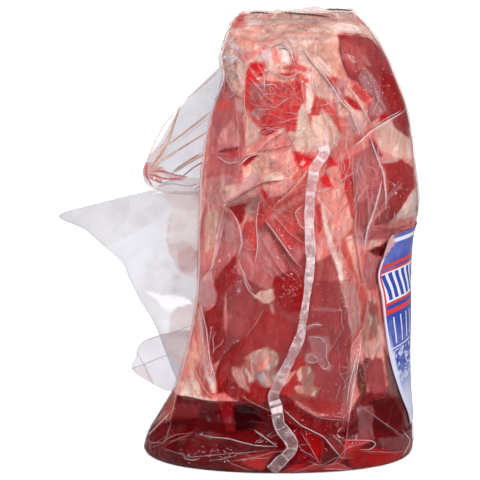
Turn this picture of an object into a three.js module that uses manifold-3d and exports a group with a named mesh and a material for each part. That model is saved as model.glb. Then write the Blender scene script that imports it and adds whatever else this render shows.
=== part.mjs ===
// A raw corned beef brisket in a clear sealed bag with its red brine, standing on end.
// Millimetres, +Z up. X runs to the right of the seam side, and the seam side faces -Y.
// The origin lies on the ground, under the middle of the pack's foot.

import * as THREE from 'three';
import { mergeVertices } from 'three/addons/utils/BufferGeometryUtils.js';
import Module from 'manifold-3d';

const wasm = await Module();
wasm.setup();

// Driving sizes of the pack
const PACK_HEIGHT = 277.5;
const SEAM_SIDE_SEGMENTS = 42;
const LABEL_SIDE_SEGMENTS = 24;
const RING_STEP = 5.8;
const FOOT_RING_HEIGHTS = [0, 1.5, 4.5, 8];
const CROWN_RING_HEIGHTS = [262, 266, 269, 271.5, 274, PACK_HEIGHT];
const ROUNDNESS = 2.15;

// Outline of the pack seen from the seam side: height, then distance from the middle plane
const LEFT_OUTLINE = [
  [0, -80], [1.5, -83], [4.5, -84.6], [14, -82], [24, -76], [44, -64.5], [66, -57], [90, -52],
  [115, -49.5], [150, -48.5], [186, -46.5], [211, -42.5], [238, -33.5], [249, -35.5], [266, -30.5],
  [275, -26], [PACK_HEIGHT, -21],
];
const RIGHT_OUTLINE = [
  [0, 81], [1.5, 84], [4.5, 85.6], [14, 85.6], [27, 84.9], [47, 82.8], [85, 82], [124, 82],
  [142, 83.5], [155, 87.5], [183, 84.3], [202, 82], [221, 78], [240, 70.5], [250, 66], [260, 60],
  [269, 53.5], [275, 47], [PACK_HEIGHT, 42],
];
// Half depth towards the seam side and towards the label side, by height
const SEAM_SIDE_DEPTH = [
  [0, 46], [1.5, 48.5], [4.5, 50], [14, 50], [30, 46], [45, 41], [60, 38.5], [90, 38], [130, 37],
  [160, 36], [200, 35], [235, 32], [252, 28], [262, 23], [268, 15], [271, 7], [273, 3.5], [PACK_HEIGHT, 2.5],
];
const LABEL_SIDE_DEPTH = [
  [0, 46], [1.5, 48.5], [4.5, 50], [14, 50], [30, 47.5], [60, 42], [100, 40], [150, 38], [200, 36],
  [235, 32], [252, 28], [262, 23], [268, 15], [271, 7], [273, 3.5], [PACK_HEIGHT, 2.5],
];
// How far the right side leans back, so that it faces the seam side a little
const RIGHT_SIDE_LEAN = [[0, 0], [30, 4], [50, 10], [125, 10], [150, 6], [200, 4], [PACK_HEIGHT, 0]];

// Swellings and hollows of the meat under the film: middle, half sizes, tilt in degrees, height.
// A flat one has a level top, like a slab of lean.
const SEAM_SIDE_LOBES = [
  { name: 'upper right lean', x: 58, z: 235, across: 17, along: 35, tilt: 30, height: 8, flat: true },
  { name: 'second lean', x: 71, z: 171, across: 16, along: 19, tilt: 10, height: 9, flat: true },
  { name: 'hollow under the second lean', x: 66, z: 143, across: 20, along: 7, tilt: 12, height: -8 },
  { name: 'middle slab', x: -13, z: 94, across: 27, along: 50, tilt: 0, height: 7, flat: true },
  { name: 'right slab', x: 30, z: 78, across: 18, along: 56, tilt: 0, height: 6, flat: true },
  { name: 'middle fat', x: 20, z: 212, across: 12, along: 25, tilt: -4, height: 4 },
  { name: 'juice pocket', x: -6, z: 228, across: 20, along: 20, tilt: 0, height: 4 },
  { name: 'crumpled knot', x: -6, z: 173, across: 19, along: 13, tilt: 8, height: 6 },
  { name: 'fat under the seam fold', x: 34, z: 155, across: 9, along: 32, tilt: 6, height: 4 },
  { name: 'left strip', x: -42, z: 205, across: 12, along: 36, tilt: 0, height: -5 },
  { name: 'lower left hollow', x: -52, z: 84, across: 10, along: 42, tilt: -12, height: -5 },
  { name: 'lower right hollow', x: 60, z: 78, across: 9, along: 46, tilt: 0, height: -5 },
  { name: 'neck above the brine', x: -10, z: 36, across: 46, along: 6, tilt: 6, height: -3 },
];
const LABEL_SIDE_LOBES = [
  { name: 'label panel', x: 16, z: 88, across: 46, along: 62, tilt: 0, height: 4, flat: true },
  { name: 'upper slab', x: 8, z: 208, across: 34, along: 38, tilt: 0, height: 5, flat: true },
  { name: 'waist', x: 10, z: 160, across: 50, along: 8, tilt: -8, height: -4 },
  { name: 'neck above the brine', x: 0, z: 30, across: 60, along: 7, tilt: 0, height: -3 },
];

// Stiff folds of the film: from, to, half width and height of each ridge
const SEAM_SIDE_FOLDS = [
  { name: 'pointed fold', from: [-36, 163], to: [4, 181], halfWidth: 10, height: 8 },
  { name: 'fold under the point', from: [-34, 163], to: [-20, 140], halfWidth: 9, height: 5 },
  { name: 'slanting fold', from: [18, 184], to: [-14, 150], halfWidth: 8, height: 4 },
  { name: 'cord fold', from: [52, 198], to: [20, 246], halfWidth: 8, height: 5 },
  { name: 'left border fold', from: [-24, 240], to: [-26, 168], halfWidth: 8, height: 5 },
  { name: 'lower left border fold', from: [-46, 120], to: [-40, 44], halfWidth: 8, height: 5 },
  { name: 'right border fold', from: [52, 150], to: [46, 34], halfWidth: 8, height: 5 },
  { name: 'fold in the brine, left', from: [-40, 24], to: [6, 18], halfWidth: 9, height: 4 },
  { name: 'fold in the brine, right', from: [10, 8], to: [60, 20], halfWidth: 9, height: 4 },
];
const LABEL_SIDE_FOLDS = [
  { name: 'upper fold', from: [-24, 236], to: [48, 250], halfWidth: 9, height: 4 },
  { name: 'waist fold', from: [-44, 150], to: [60, 166], halfWidth: 9, height: 4 },
  { name: 'foot fold', from: [-60, 16], to: [40, 10], halfWidth: 9, height: 4 },
];

// Crumple of the film: spacing of its corners and how far they stand in or out
const CRUMPLE_CELL = 13;
const CRUMPLE_HEIGHT = 1.5;

// Film parts laid on the pack
const GAP = 0.35;
const SEAM_WIDTH = 6.2;
const SEAM_THICKNESS = 0.8;
const SEAM_ROUTE = [
  [24, 203], [27, 196], [20, 186], [18, 172], [18, 152], [19, 130], [17, 113], [13, 86],
  [8, 74], [2, 61], [-4, 48], [-1, 39], [0, 30], [8, 22], [12, 15], [6, 10], [0, 4],
];
const LABEL_THICKNESS = 0.6;
const LABEL_BOTTOM = 22;
const LABEL_TOP = 143;
const LABEL_FAR_EDGE = -34;
// The label's near edge, seen from the seam side: height, then distance from the middle plane
const LABEL_NEAR_EDGE = [
  [22, 82], [30, 80], [40, 76], [59, 70], [84, 65], [106, 62], [121, 59.5], [129, 62], [143, 68],
];

// Loose film beside the pack: half thickness, place and outline
const FILM_HALF_THICKNESS = 0.5;
const LOOSE_FILM_ROOT = -34;
const LOOP_ROWS = 18;
const LOOP_COLUMNS = 9;
const LOOP_PLACE = 13;
const LOOP_SWELL = 3.5;
const LOOP_OUTLINE = [
  [163.5, -70], [167, -79], [175, -84], [184, -82], [197, -73], [212, -64], [224, -55], [243, -36],
];
const FLAP_ROWS = 30;
const FLAP_COLUMNS = 9;
const FLAP_PLACE = 17;
const FLAP_OUTLINE = [
  [36.5, -71], [40, -78], [49, -92], [58, -90], [66, -87], [71, -78], [78, -78], [95, -87],
  [108, -93], [121, -99], [129, -109], [139, -121], [150, -136], [155, -117], [162, -91],
];

const smooth = (t) => THREE.MathUtils.smoothstep(t, 0, 1);

/** Smooth curve through knots of [height, value]. */
function profile(knots) {
  const slope = (i) => {
    const a = knots[Math.max(i - 1, 0)];
    const b = knots[Math.min(i + 1, knots.length - 1)];
    return (b[1] - a[1]) / (b[0] - a[0]);
  };
  return (height) => {
    let i = 0;
    while (i < knots.length - 2 && height > knots[i + 1][0]) i += 1;
    const [z0, v0] = knots[i];
    const [z1, v1] = knots[i + 1];
    const span = z1 - z0;
    const t = THREE.MathUtils.clamp((height - z0) / span, 0, 1);
    const start = (1 + 2 * t) * (1 - t) ** 2 * v0 + t * (1 - t) ** 2 * span * slope(i);
    const end = t * t * (3 - 2 * t) * v1 + t * t * (t - 1) * span * slope(i + 1);
    return start + end;
  };
}

const leftAt = profile(LEFT_OUTLINE);
const rightAt = profile(RIGHT_OUTLINE);
const seamSideDepthAt = profile(SEAM_SIDE_DEPTH);
const labelSideDepthAt = profile(LABEL_SIDE_DEPTH);
const leanAt = profile(RIGHT_SIDE_LEAN);

/** Height that one swelling or hollow adds at (x, z). */
function lobeHeight(lobe, x, z) {
  const tilt = THREE.MathUtils.degToRad(lobe.tilt);
  const dx = x - lobe.x;
  const dz = z - lobe.z;
  const across = (dx * Math.cos(tilt) + dz * Math.sin(tilt)) / lobe.across;
  const along = (dz * Math.cos(tilt) - dx * Math.sin(tilt)) / lobe.along;
  const reach = across * across + along * along;
  return lobe.height * Math.exp(-(lobe.flat ? reach ** 2.4 : reach));
}

/** Height that one ridge of folded film adds at (x, z). */
function foldHeight(fold, x, z) {
  const [x0, z0] = fold.from;
  const runX = fold.to[0] - x0;
  const runZ = fold.to[1] - z0;
  const length = Math.hypot(runX, runZ);
  const along = THREE.MathUtils.clamp(((x - x0) * runX + (z - z0) * runZ) / length ** 2, 0, 1);
  const away = Math.hypot(x - x0 - along * runX, z - z0 - along * runZ);
  return fold.height * (1 - smooth(away / fold.halfWidth));
}

/** Repeatable number from -1 to 1 for a grid corner. */
function cornerNoise(i, j) {
  const wave = Math.sin(i * 127.1 + j * 311.7) * 43758.5453;
  return 2 * (wave - Math.floor(wave)) - 1;
}

/** Crumple of the film with flat facets and sharp creases between them. */
function crumple(u, v) {
  const i = Math.floor(u / CRUMPLE_CELL);
  const j = Math.floor(v / CRUMPLE_CELL);
  const s = u / CRUMPLE_CELL - i;
  const t = v / CRUMPLE_CELL - j;
  const low = cornerNoise(i, j);
  const high = cornerNoise(i + 1, j + 1);
  const side = s > t ? cornerNoise(i + 1, j) : cornerNoise(i, j + 1);
  const first = Math.max(s, t);
  const second = Math.min(s, t);
  return CRUMPLE_HEIGHT * (low * (1 - first) + side * (first - second) + high * second);
}

/** Point on the film at an angle round the pack and a height. */
function packPoint(angle, z) {
  const left = leftAt(z);
  const right = rightAt(z);
  const middle = (left + right) / 2;
  const halfWidth = (right - left) / 2;
  const power = 2 / ROUNDNESS;
  const cos = Math.cos(angle);
  const sin = Math.sin(angle);
  const depth = sin < 0 ? seamSideDepthAt(z) : labelSideDepthAt(z);
  const across = Math.sign(cos) * Math.abs(cos) ** power;
  const deep = Math.sign(sin) * Math.abs(sin) ** power;
  const x = middle + halfWidth * across + leanAt(z) * deep * Math.max(0, cos);
  const y = depth * deep;
  const lobes = sin < 0 ? SEAM_SIDE_LOBES : LABEL_SIDE_LOBES;
  const folds = sin < 0 ? SEAM_SIDE_FOLDS : LABEL_SIDE_FOLDS;
  let swell = crumple(angle * 60, z);
  for (const lobe of lobes) swell += lobeHeight(lobe, x, z);
  for (const fold of folds) swell += foldHeight(fold, x, z);
  const facing = smooth(Math.abs(sin) / 0.45);
  const inFoot = smooth(z / 9);
  const inCrown = smooth((PACK_HEIGHT - z) / 16);
  swell *= facing * inFoot * inCrown;
  const outward = new THREE.Vector2(cos / halfWidth, sin / depth).normalize();
  return new THREE.Vector3(x + outward.x * swell * 0.4, y + outward.y * swell, z);
}

/** Heights of the rings from foot to crown. */
function ringHeights() {
  const heights = [...FOOT_RING_HEIGHTS];
  const first = FOOT_RING_HEIGHTS.at(-1);
  const rise = CROWN_RING_HEIGHTS[0] - first;
  const count = Math.round(rise / RING_STEP);
  for (let i = 1; i < count; i += 1) heights.push(first + (rise * i) / count);
  return heights.concat(CROWN_RING_HEIGHTS);
}

/** Angles round a ring, closer together on the seam side. */
function ringAngles() {
  const angles = [];
  for (let k = 0; k < LABEL_SIDE_SEGMENTS; k += 1) angles.push((Math.PI * k) / LABEL_SIDE_SEGMENTS);
  for (let k = 0; k < SEAM_SIDE_SEGMENTS; k += 1) angles.push(Math.PI * (1 + k / SEAM_SIDE_SEGMENTS));
  return angles;
}

/** Closed skin of the pack, grown outwards by a small distance all over. */
function packGeometry(growth = 0) {
  const heights = ringHeights();
  const angles = ringAngles();
  const positions = [];
  const faces = [];
  for (const z of heights) {
    for (const angle of angles) positions.push(...packPoint(angle, z).toArray());
  }
  const ring = (row, k) => row * angles.length + (k % angles.length);
  for (let row = 0; row < heights.length - 1; row += 1) {
    for (let k = 0; k < angles.length; k += 1) {
      const [a, b] = [ring(row, k), ring(row, k + 1)];
      const [c, d] = [ring(row + 1, k + 1), ring(row + 1, k)];
      if ((row + k) % 2) faces.push(a, b, c, a, c, d);
      else faces.push(a, b, d, b, c, d);
    }
  }
  const top = heights.length - 1;
  const footMiddle = positions.length / 3;
  positions.push(0, 0, 0);
  positions.push((leftAt(PACK_HEIGHT) + rightAt(PACK_HEIGHT)) / 2, 0, PACK_HEIGHT);
  for (let k = 0; k < angles.length; k += 1) {
    faces.push(footMiddle, ring(0, k + 1), ring(0, k));
    faces.push(footMiddle + 1, ring(top, k), ring(top, k + 1));
  }
  const geometry = new THREE.BufferGeometry();
  geometry.setAttribute('position', new THREE.Float32BufferAttribute(positions, 3));
  geometry.setIndex(faces);
  if (growth > 0) grow(geometry, growth);
  return geometry;
}

/** Moves every corner out along its normal. */
function grow(geometry, distance) {
  geometry.computeVertexNormals();
  const position = geometry.attributes.position;
  const normal = geometry.attributes.normal;
  for (let i = 0; i < position.count; i += 1) {
    position.setXYZ(
      i,
      position.getX(i) + normal.getX(i) * distance,
      position.getY(i) + normal.getY(i) * distance,
      position.getZ(i) + normal.getZ(i) * distance,
    );
  }
  geometry.deleteAttribute('normal');
}

/** Solid for cutting and joining, from a closed geometry. */
function toSolid(geometry) {
  const bare = geometry.clone();
  bare.deleteAttribute('normal');
  bare.deleteAttribute('uv');
  const merged = mergeVertices(bare, 1e-4);
  return new wasm.Manifold(new wasm.Mesh({
    numProp: 3,
    vertProperties: new Float32Array(merged.attributes.position.array),
    triVerts: new Uint32Array(merged.index.array),
  }));
}

/** Geometry of a solid after cutting and joining. */
function toGeometry(solid) {
  const mesh = solid.getMesh();
  const geometry = new THREE.BufferGeometry();
  geometry.setAttribute('position', new THREE.Float32BufferAttribute(mesh.vertProperties, 3));
  geometry.setIndex([...mesh.triVerts]);
  return geometry;
}

/** Prism with an outline in x and z, running along y. */
function prismAlongY(outline, yFrom, yTo) {
  const shape = new THREE.Shape(outline.map(([x, z]) => new THREE.Vector2(x, z)));
  const geometry = new THREE.ExtrudeGeometry(shape, { depth: yTo - yFrom, bevelEnabled: false });
  geometry.rotateX(Math.PI / 2);
  geometry.translate(0, yTo, 0);
  return geometry;
}

/** Thin skin that follows the pack at a small gap. */
function skin(thickness) {
  const outer = toSolid(packGeometry(GAP + thickness));
  const inner = toSolid(packGeometry(GAP));
  return outer.subtract(inner);
}

/** Outline of a ribbon of even width along a route. */
function ribbonOutline(route, width) {
  const curve = new THREE.SplineCurve(route.map(([x, z]) => new THREE.Vector2(x, z)));
  const steps = route.length * 3;
  const leftSide = [];
  const rightSide = [];
  for (let i = 0; i <= steps; i += 1) {
    const point = curve.getPoint(i / steps);
    const ahead = curve.getTangent(i / steps);
    const aside = new THREE.Vector2(-ahead.y, ahead.x).multiplyScalar(width / 2);
    leftSide.push([point.x + aside.x, point.y + aside.y]);
    rightSide.unshift([point.x - aside.x, point.y - aside.y]);
  }
  return leftSide.concat(rightSide);
}

/** Fin seam: the bag's long weld, lying flat down the seam side. */
function seamGeometry() {
  const path = toSolid(prismAlongY(ribbonOutline(SEAM_ROUTE, SEAM_WIDTH), -90, -4));
  return toGeometry(skin(SEAM_THICKNESS).intersect(path));
}

/** Label: a printed skin from the right side round to the far side. */
function labelGeometry() {
  const edgeAt = profile(LABEL_NEAR_EDGE);
  const steps = 14;
  const nearEdge = [];
  for (let i = 0; i <= steps; i += 1) {
    const z = THREE.MathUtils.lerp(LABEL_BOTTOM, LABEL_TOP, i / steps);
    nearEdge.push([edgeAt(z), z]);
  }
  const beyond = 110;
  const side = toSolid(prismAlongY([...nearEdge, [beyond, LABEL_TOP], [beyond, LABEL_BOTTOM]], -beyond, 6));
  const panel = [
    [LABEL_FAR_EDGE, LABEL_BOTTOM], [beyond, LABEL_BOTTOM], [beyond, LABEL_TOP], [LABEL_FAR_EDGE, LABEL_TOP],
  ];
  const back = toSolid(prismAlongY(panel, 5, beyond));
  return toGeometry(skin(LABEL_THICKNESS).intersect(side.add(back)));
}

/** Closed thin sheet between a root and an outline, with both faces split alike. */
function sheetGeometry(rows, columns, pointAt, halfThicknessAt) {
  const positions = [];
  const faces = [];
  const side = (rows + 1) * (columns + 1);
  for (const sign of [-1, 1]) {
    for (let i = 0; i <= rows; i += 1) {
      for (let j = 0; j <= columns; j += 1) {
        const point = pointAt(i / rows, j / columns);
        positions.push(point.x, point.y + sign * halfThicknessAt(i / rows, j / columns), point.z);
      }
    }
  }
  const corner = (face, i, j) => face * side + i * (columns + 1) + j;
  for (let i = 0; i < rows; i += 1) {
    for (let j = 0; j < columns; j += 1) {
      for (const face of [0, 1]) {
        const [a, b] = [corner(face, i, j), corner(face, i, j + 1)];
        const [c, d] = [corner(face, i + 1, j + 1), corner(face, i + 1, j)];
        if (face) faces.push(a, c, b, a, d, c);
        else faces.push(a, b, c, a, c, d);
      }
    }
  }
  const wall = (i0, j0, i1, j1) => {
    const [a, b] = [corner(0, i0, j0), corner(0, i1, j1)];
    const [c, d] = [corner(1, i1, j1), corner(1, i0, j0)];
    faces.push(a, c, b, a, d, c);
  };
  for (let j = 0; j < columns; j += 1) {
    wall(0, j, 0, j + 1);
    wall(rows, j + 1, rows, j);
  }
  for (let i = 0; i < rows; i += 1) {
    wall(i, columns, i + 1, columns);
    wall(i + 1, 0, i, 0);
  }
  const geometry = new THREE.BufferGeometry();
  geometry.setAttribute('position', new THREE.Float32BufferAttribute(positions, 3));
  geometry.setIndex(faces);
  return geometry;
}

/** Cuts a sheet where it meets the pack and keeps what stands outside it. */
function outsidePack(sheet) {
  const rest = toSolid(sheet).subtract(toSolid(packGeometry(GAP)));
  const pieces = rest.decompose().sort((a, b) => b.volume() - a.volume());
  return toGeometry(pieces[0]);
}

/** Clear loop of empty bag that stands out at the upper left, gathered at its lower corner. */
function loopGeometry() {
  const outlineAt = profile(LOOP_OUTLINE);
  const bottom = LOOP_OUTLINE[0][0];
  const top = LOOP_OUTLINE.at(-1)[0];
  const pointAt = (v, u) => {
    const z = THREE.MathUtils.lerp(bottom, top, v);
    const x = THREE.MathUtils.lerp(outlineAt(z), LOOSE_FILM_ROOT, u);
    const ripple = Math.sin(z * 0.42 + x * 0.3) * 1.2 * (1 - v);
    return new THREE.Vector3(x, LOOP_PLACE + ripple - 5 * Math.sin(Math.PI * u) * (1 - v), z);
  };
  const swellAt = (v, u) => {
    const middle = Math.sin(Math.PI * Math.min(1, u * 1.2)) * Math.sin(Math.PI * v) ** 0.5;
    return FILM_HALF_THICKNESS + LOOP_SWELL * Math.max(0, middle);
  };
  return outsidePack(sheetGeometry(LOOP_ROWS, LOOP_COLUMNS, pointAt, swellAt));
}

/** Wide flap of loose film at the lower left, with its end folded back as a tab. */
function flapGeometry() {
  const outlineAt = profile(FLAP_OUTLINE);
  const bottom = FLAP_OUTLINE[0][0];
  const top = FLAP_OUTLINE.at(-1)[0];
  const pointAt = (v, u) => {
    const z = THREE.MathUtils.lerp(bottom, top, v);
    const x = THREE.MathUtils.lerp(outlineAt(z), LOOSE_FILM_ROOT, u);
    const wave = Math.sin(z * 0.055 - x * 0.05) * 4;
    const tab = 4 * smooth((76 - z) / 8);
    return new THREE.Vector3(x, FLAP_PLACE + wave + tab, z);
  };
  return outsidePack(sheetGeometry(FLAP_ROWS, FLAP_COLUMNS, pointAt, () => FILM_HALF_THICKNESS));
}

/** Named mesh with its own material. */
function mesh(name, geometry, color, roughness, extra = {}) {
  const material = new THREE.MeshStandardMaterial({ color, roughness, metalness: 0, ...extra });
  const piece = new THREE.Mesh(geometry, material);
  piece.name = name;
  return piece;
}

const filmLook = { transparent: true, opacity: 0.45 };

const brisketPack = new THREE.Group();
brisketPack.name = 'brisket_in_bag';
brisketPack.add(
  mesh('brisket_pack', packGeometry(), 0xb04a48, 0.22),
  mesh('fin_seam', seamGeometry(), 0xe6cdd2, 0.25, filmLook),
  mesh('label', labelGeometry(), 0x2c46a8, 0.3),
  mesh('film_loop', loopGeometry(), 0xe4e2e8, 0.15, filmLook),
  mesh('film_flap', flapGeometry(), 0xe4e2e8, 0.2, filmLook),
);

export default brisketPack;
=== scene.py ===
"""Looks of a raw corned beef brisket in a clear sealed bag with its red brine, standing on end.

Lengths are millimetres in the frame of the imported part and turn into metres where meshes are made.
X runs to the right of the seam side, the seam side faces -Y, and the label is on the right and far sides.
"""

import math

import bpy
import numpy as np
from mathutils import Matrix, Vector
from mathutils.bvhtree import BVHTree


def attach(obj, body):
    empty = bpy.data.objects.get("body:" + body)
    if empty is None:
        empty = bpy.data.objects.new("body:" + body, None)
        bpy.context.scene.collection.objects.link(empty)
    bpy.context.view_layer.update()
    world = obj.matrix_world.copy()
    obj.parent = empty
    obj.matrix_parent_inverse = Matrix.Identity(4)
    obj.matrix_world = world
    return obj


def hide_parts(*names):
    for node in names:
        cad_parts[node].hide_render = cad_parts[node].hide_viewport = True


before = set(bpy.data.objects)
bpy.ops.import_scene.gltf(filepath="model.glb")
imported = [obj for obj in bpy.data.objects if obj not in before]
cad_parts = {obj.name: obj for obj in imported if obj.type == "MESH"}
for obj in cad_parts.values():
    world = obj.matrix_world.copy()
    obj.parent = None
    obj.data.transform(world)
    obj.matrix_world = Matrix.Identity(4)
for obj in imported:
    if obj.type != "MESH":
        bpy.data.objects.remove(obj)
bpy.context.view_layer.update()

MM = 0.001
WHITE = (1, 1, 1, 1)

# Grid of the film: columns on the seam side and on the label side, and the height of a row
SEAM_SIDE_COLUMNS = 270
LABEL_SIDE_COLUMNS = 110
ROW_STEP = 0.98
FOOT_ROWS = [0.3, 1.0, 2.0, 3.2, 4.5, 6.0, 7.5]
TOP_ROW = 277.2

# Smoothing of the solid's skin, the heights below and above which it stays as it is, and the change between
SMOOTHING = 2.6
FOOT_KEPT = 4.0
TOP_KEPT = 262.0
KEPT_EDGE = 8.0

# Middle line of the pack: height, then distance from the middle plane, and its usual half sizes
AXIS_KNOTS = [(0, 0), (30, 5), (60, 13), (150, 18), (220, 18), (278, 11)]
HALF_WIDTH = 66.0
HALF_DEPTH = 41.0
GIRTH_RADIUS = 62.0

# Rays that find the skin start this far out, and where one misses, the skin is this far from the middle
RAY_START = 200.0
NO_SKIN = 2.0

# Depths under the film, where meat and brine end, and how far each draws back beyond the brine's edge
MEAT_UNDER_FILM = 0.6
MEAT_FOOT = 12.0
MEAT_TOP = 276.5
MEAT_DRAWN_BACK = 9.0
BRINE_UNDER_FILM = 0.3
BRINE_TOP = 50.0
BRINE_DRAWN_BACK = 12.0

# Edge of the brine: its height by x on the seam side, and its height behind
BRINE_EDGE = [(-90, 41), (-62, 41), (-40, 43), (-8, 40), (4, 33), (20, 27), (42, 28), (52, 38), (90, 38)]
BRINE_EDGE_BEHIND = 40.0

# Film: how it bends light, its sheen from inside, its least distance from the skin and its usual looseness
FILM_IOR = 1.33
INNER_SHEEN = 0.02
FILM_LIFT = 0.15
USUAL_LOOSENESS = 0.6

# Crumple of loose film: height, size of a facet, seed and heading
FILM_CRUMPLES = [(2.2, 21, 5, 0.4), (1.5, 10, 6, -0.7), (0.75, 4.6, 8, 1.1)]

# Softness of the edges of patches of tissue, of looseness and of milky film
TISSUE_EDGE = 1.2
LOOSENESS_EDGE = 5.0
VEIL_EDGE = 1.0

# Edge of a fold: share of its line's width that its radius has, and how far it stands off the film
EDGE_RADIUS = 0.34
EDGE_LIFT = 0.1

# Ridge of a fold: how far it reaches on its long side and on its steep side
RIDGE_LONG_SIDE = 5.0
RIDGE_STEEP_SIDE = 1.8

# Panes of crumpled film: how many a metre, heading and how much longer they are than wide
FILM_CRINKLES = [(110.0, 0.45, 2.4), (190.0, -0.6, 2.0)]

# Weld down the seam side: its middle line in x and z, its width, and what share of it each height has
SEAM_ROUTE = [
    (24, 203), (27, 196), (20, 186), (18, 172), (18, 152), (19, 130), (17, 113), (13, 86),
    (8, 74), (2, 61), (-4, 48), (-1, 39), (0, 30), (6, 23.5), (9, 18), (5, 14), (0, 9), (-5, 3.5),
]
SEAM_WIDTH = 6.2
SEAM_WIDTHS = [
    (0, 1.1), (34, 1.15), (48, 1.1), (66, 1.0), (84, 0.95), (96, 0.7), (108, 0.68), (124, 0.9), (150, 1.0),
    (205, 1.05),
]
SEAM_STEP = 0.7
SEAM_OFF_FILM = 0.7

# The film lies tight beside the weld down to this height
SEAM_TIGHT_ABOVE = 12

# Bands across the weld that are milkier or clearer than the rest: height from and to, and how milky
# The brightest bands are painted highlights, glints on the weld.
WELD_BANDS_AND_GLINTS = [
    (196, 200, 0.9), (190.5, 193, 0.95), (186.5, 189.5, 0.3), (182.5, 185, 0.9), (174, 180, 0.4),
    (170, 173, 0.9), (150, 156, 0.85), (128, 133, 0.8), (112, 117, 0.45), (92, 97, 0.4), (70, 76, 0.3),
    (42.5, 45.5, 0.9), (37, 41.5, 0.95), (17, 18.5, 0.5), (12, 13.5, 0.6),
]

# Label: its foot, top, far edge and grid, and its near edge as x by height
LABEL_BOTTOM = 22.0
LABEL_TOP = 143.0
LABEL_FAR_EDGE = -34.0
LABEL_ROW = 1.1
LABEL_COLUMNS = 110
LABEL_NEAR_EDGE = [
    (22, 82), (30, 80), (40, 76), (59, 70), (84, 65), (106, 62), (121, 59.5), (129, 62), (143, 68),
]

# The film is smooth under the label and this far beyond its sides and ends, then slack over the third length
LABEL_SIDE_MARGIN = 4.0
LABEL_END_MARGIN = 3.0
LABEL_MARGIN_EDGE = 3.0

# How far the label climbs as it runs back, and the distance over which it does most of that
LABEL_CLIMB = 8.7
LABEL_CLIMB_RUN = 30.0

# Corner of the label that curls off: the middle and half of its height, and its width
CURL_MIDDLE = 135.5
CURL_HALF = 7.5
CURL_WIDTH = 6.0

# Print of the label by height, then by distance from its near edge
LABEL_STRIPES = [
    (141.6, 143.0, "red"), (136.0, 138.8, "white"), (121.2, 123.9, "red"), (118.2, 119.7, "red"),
    (99.4, 118.2, "white"), (97.6, 99.4, "red"), (92.0, 95.0, "red"), (70.4, 71.1, "white"),
]
SLANTED_BARS = (100.6, 117.2)
THIN_STROKES = (73.0, 89.5)
WORN_PRINT = (48.0, 69.5)
BOX_SIDE = (92.0, 119.7)
BOX_SIDE_LINE = (2.0, 3.3)
LABEL_EDGE_LINES = [(0.9, 2.0, "white"), (0.3, 0.9, "violet grey"), (-1.0, 0.3, "red")]

LABEL_TONES = {
    "white": (232, 232, 242),
    "blue": (42, 66, 166),
    "red": (214, 54, 56),
    "veiled blue": (124, 134, 198),
    "worn blue": (196, 202, 232),
    "pale foot": (208, 210, 234),
    "pale edge": (214, 214, 236),
    "violet grey": (170, 172, 214),
    "curl": (206, 156, 160),
}

# Loose film at the left: place in depth, outline by height, and where it meets the pack
LOOSE_FILM_ROOT = -34.0
LOOP_PLACE = 13.0
LOOP_OUTLINE = [
    (163.5, -70), (167, -79), (175, -84), (184, -82), (197, -73), (212, -64), (224, -55), (243, -36),
]
FLAP_PLACE = 17.0
FLAP_OUTLINE = [
    (36.5, -71), (40, -78), (49, -92), (58, -90), (66, -87), (71, -78), (78, -78), (95, -87),
    (108, -93), (121, -99), (129, -109), (139, -121), (150, -136), (155, -117), (162, -91),
]

# The flap's sheet runs on behind its tab below, and behind the loop above; the tab ends at the sheet
FLAP_BEHIND_TAB = [(38, -62), (60, -71)]
FLAP_BEHIND_LOOP = [(160, -98), (165, -79), (170, -70), (174, -62)]
TAB_END = (75, -60)
TAB_TOP = 71
SHEET_BOTTOM = 78

# Depth at which rays towards the film start, the depth beyond which they have missed the seam side, and the
# depth whose nearest place on the film then stands in
FILM_RAY_START = -300
FILM_RAY_END = 30
FILM_NEARBY = -10

# The way that the seam side faces
FACING = np.array([0.0, -1.0, 0.0])

# Camera: aim, distance, height above the horizon and lens
AIM = Vector((-23.6, 0.0, 136.3)) * MM
CAMERA_DISTANCE = 1.1
CAMERA_ELEVATION = math.radians(10.0)
PHOTO_SIZE = 480
PIXELS_PER_RADIAN = 1774.0
SENSOR = 36.0

# Floor: how far it reaches, and how far it lies under the pack
FLOOR_REACH = 40000.0
FLOOR_DEPTH = 0.4

# Lights: name, place and size in metres, power in watts, and whether the film mirrors it
LIGHTS = [
    ("left_softbox", (-0.8, -0.9, 0.5), (0.7, 0.9), 3.9, False),
    ("right_softbox", (0.85, -0.8, 0.45), (0.7, 0.9), 3.9, False),
    ("top_softbox", (0.0, -0.35, 1.2), (1.2, 0.8), 4.8, False),
    ("left_strip", (-1.0, -0.55, 0.3), (0.05, 0.9), 2.8, True),
    ("right_strip", (0.9, -0.8, 0.35), (0.05, 0.9), 2.8, True),
    ("top_strip", (0.0, -0.9, 1.0), (0.9, 0.05), 2.8, True),
]
LIGHT_AIM = Vector((0.0, 0.0, 0.14))

# Small bits: name, middle in x and z, spread, count, sizes from and to, depth in the film, seed and material
BITS = [
    ("mustard_seeds", (51, 56), (1.1, 5.0), 26, (0.5, 1.1), 0.4, 11, "spice"),
    # The bubbles are real; their pale colour paints the light that they catch
    ("bubbles_round", (7, 112), (3.4, 3.6), 40, (0.1, 0.28), -0.05, 12, "bubble_rim"),
    ("bubbles_lean", (62, 228), (8.0, 14.0), 60, (0.12, 0.3), -0.05, 13, "bubble_rim"),
    ("bubbles_second", (72, 172), (6.0, 8.0), 34, (0.12, 0.28), -0.05, 14, "bubble_rim"),
    ("bubbles_slab", (28, 90), (8.0, 24.0), 40, (0.12, 0.3), -0.05, 15, "bubble_rim"),
    ("bubbles_brine", (-35, 12), (16.0, 4.0), 40, (0.12, 0.35), -0.05, 16, "bubble_rim"),
]


def smooth(t):
    """Eased step from 0 to 1."""
    t = np.clip(t, 0.0, 1.0)
    return t * t * (3.0 - 2.0 * t)


def mix(a, b, t):
    return a + (b - a) * t


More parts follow.
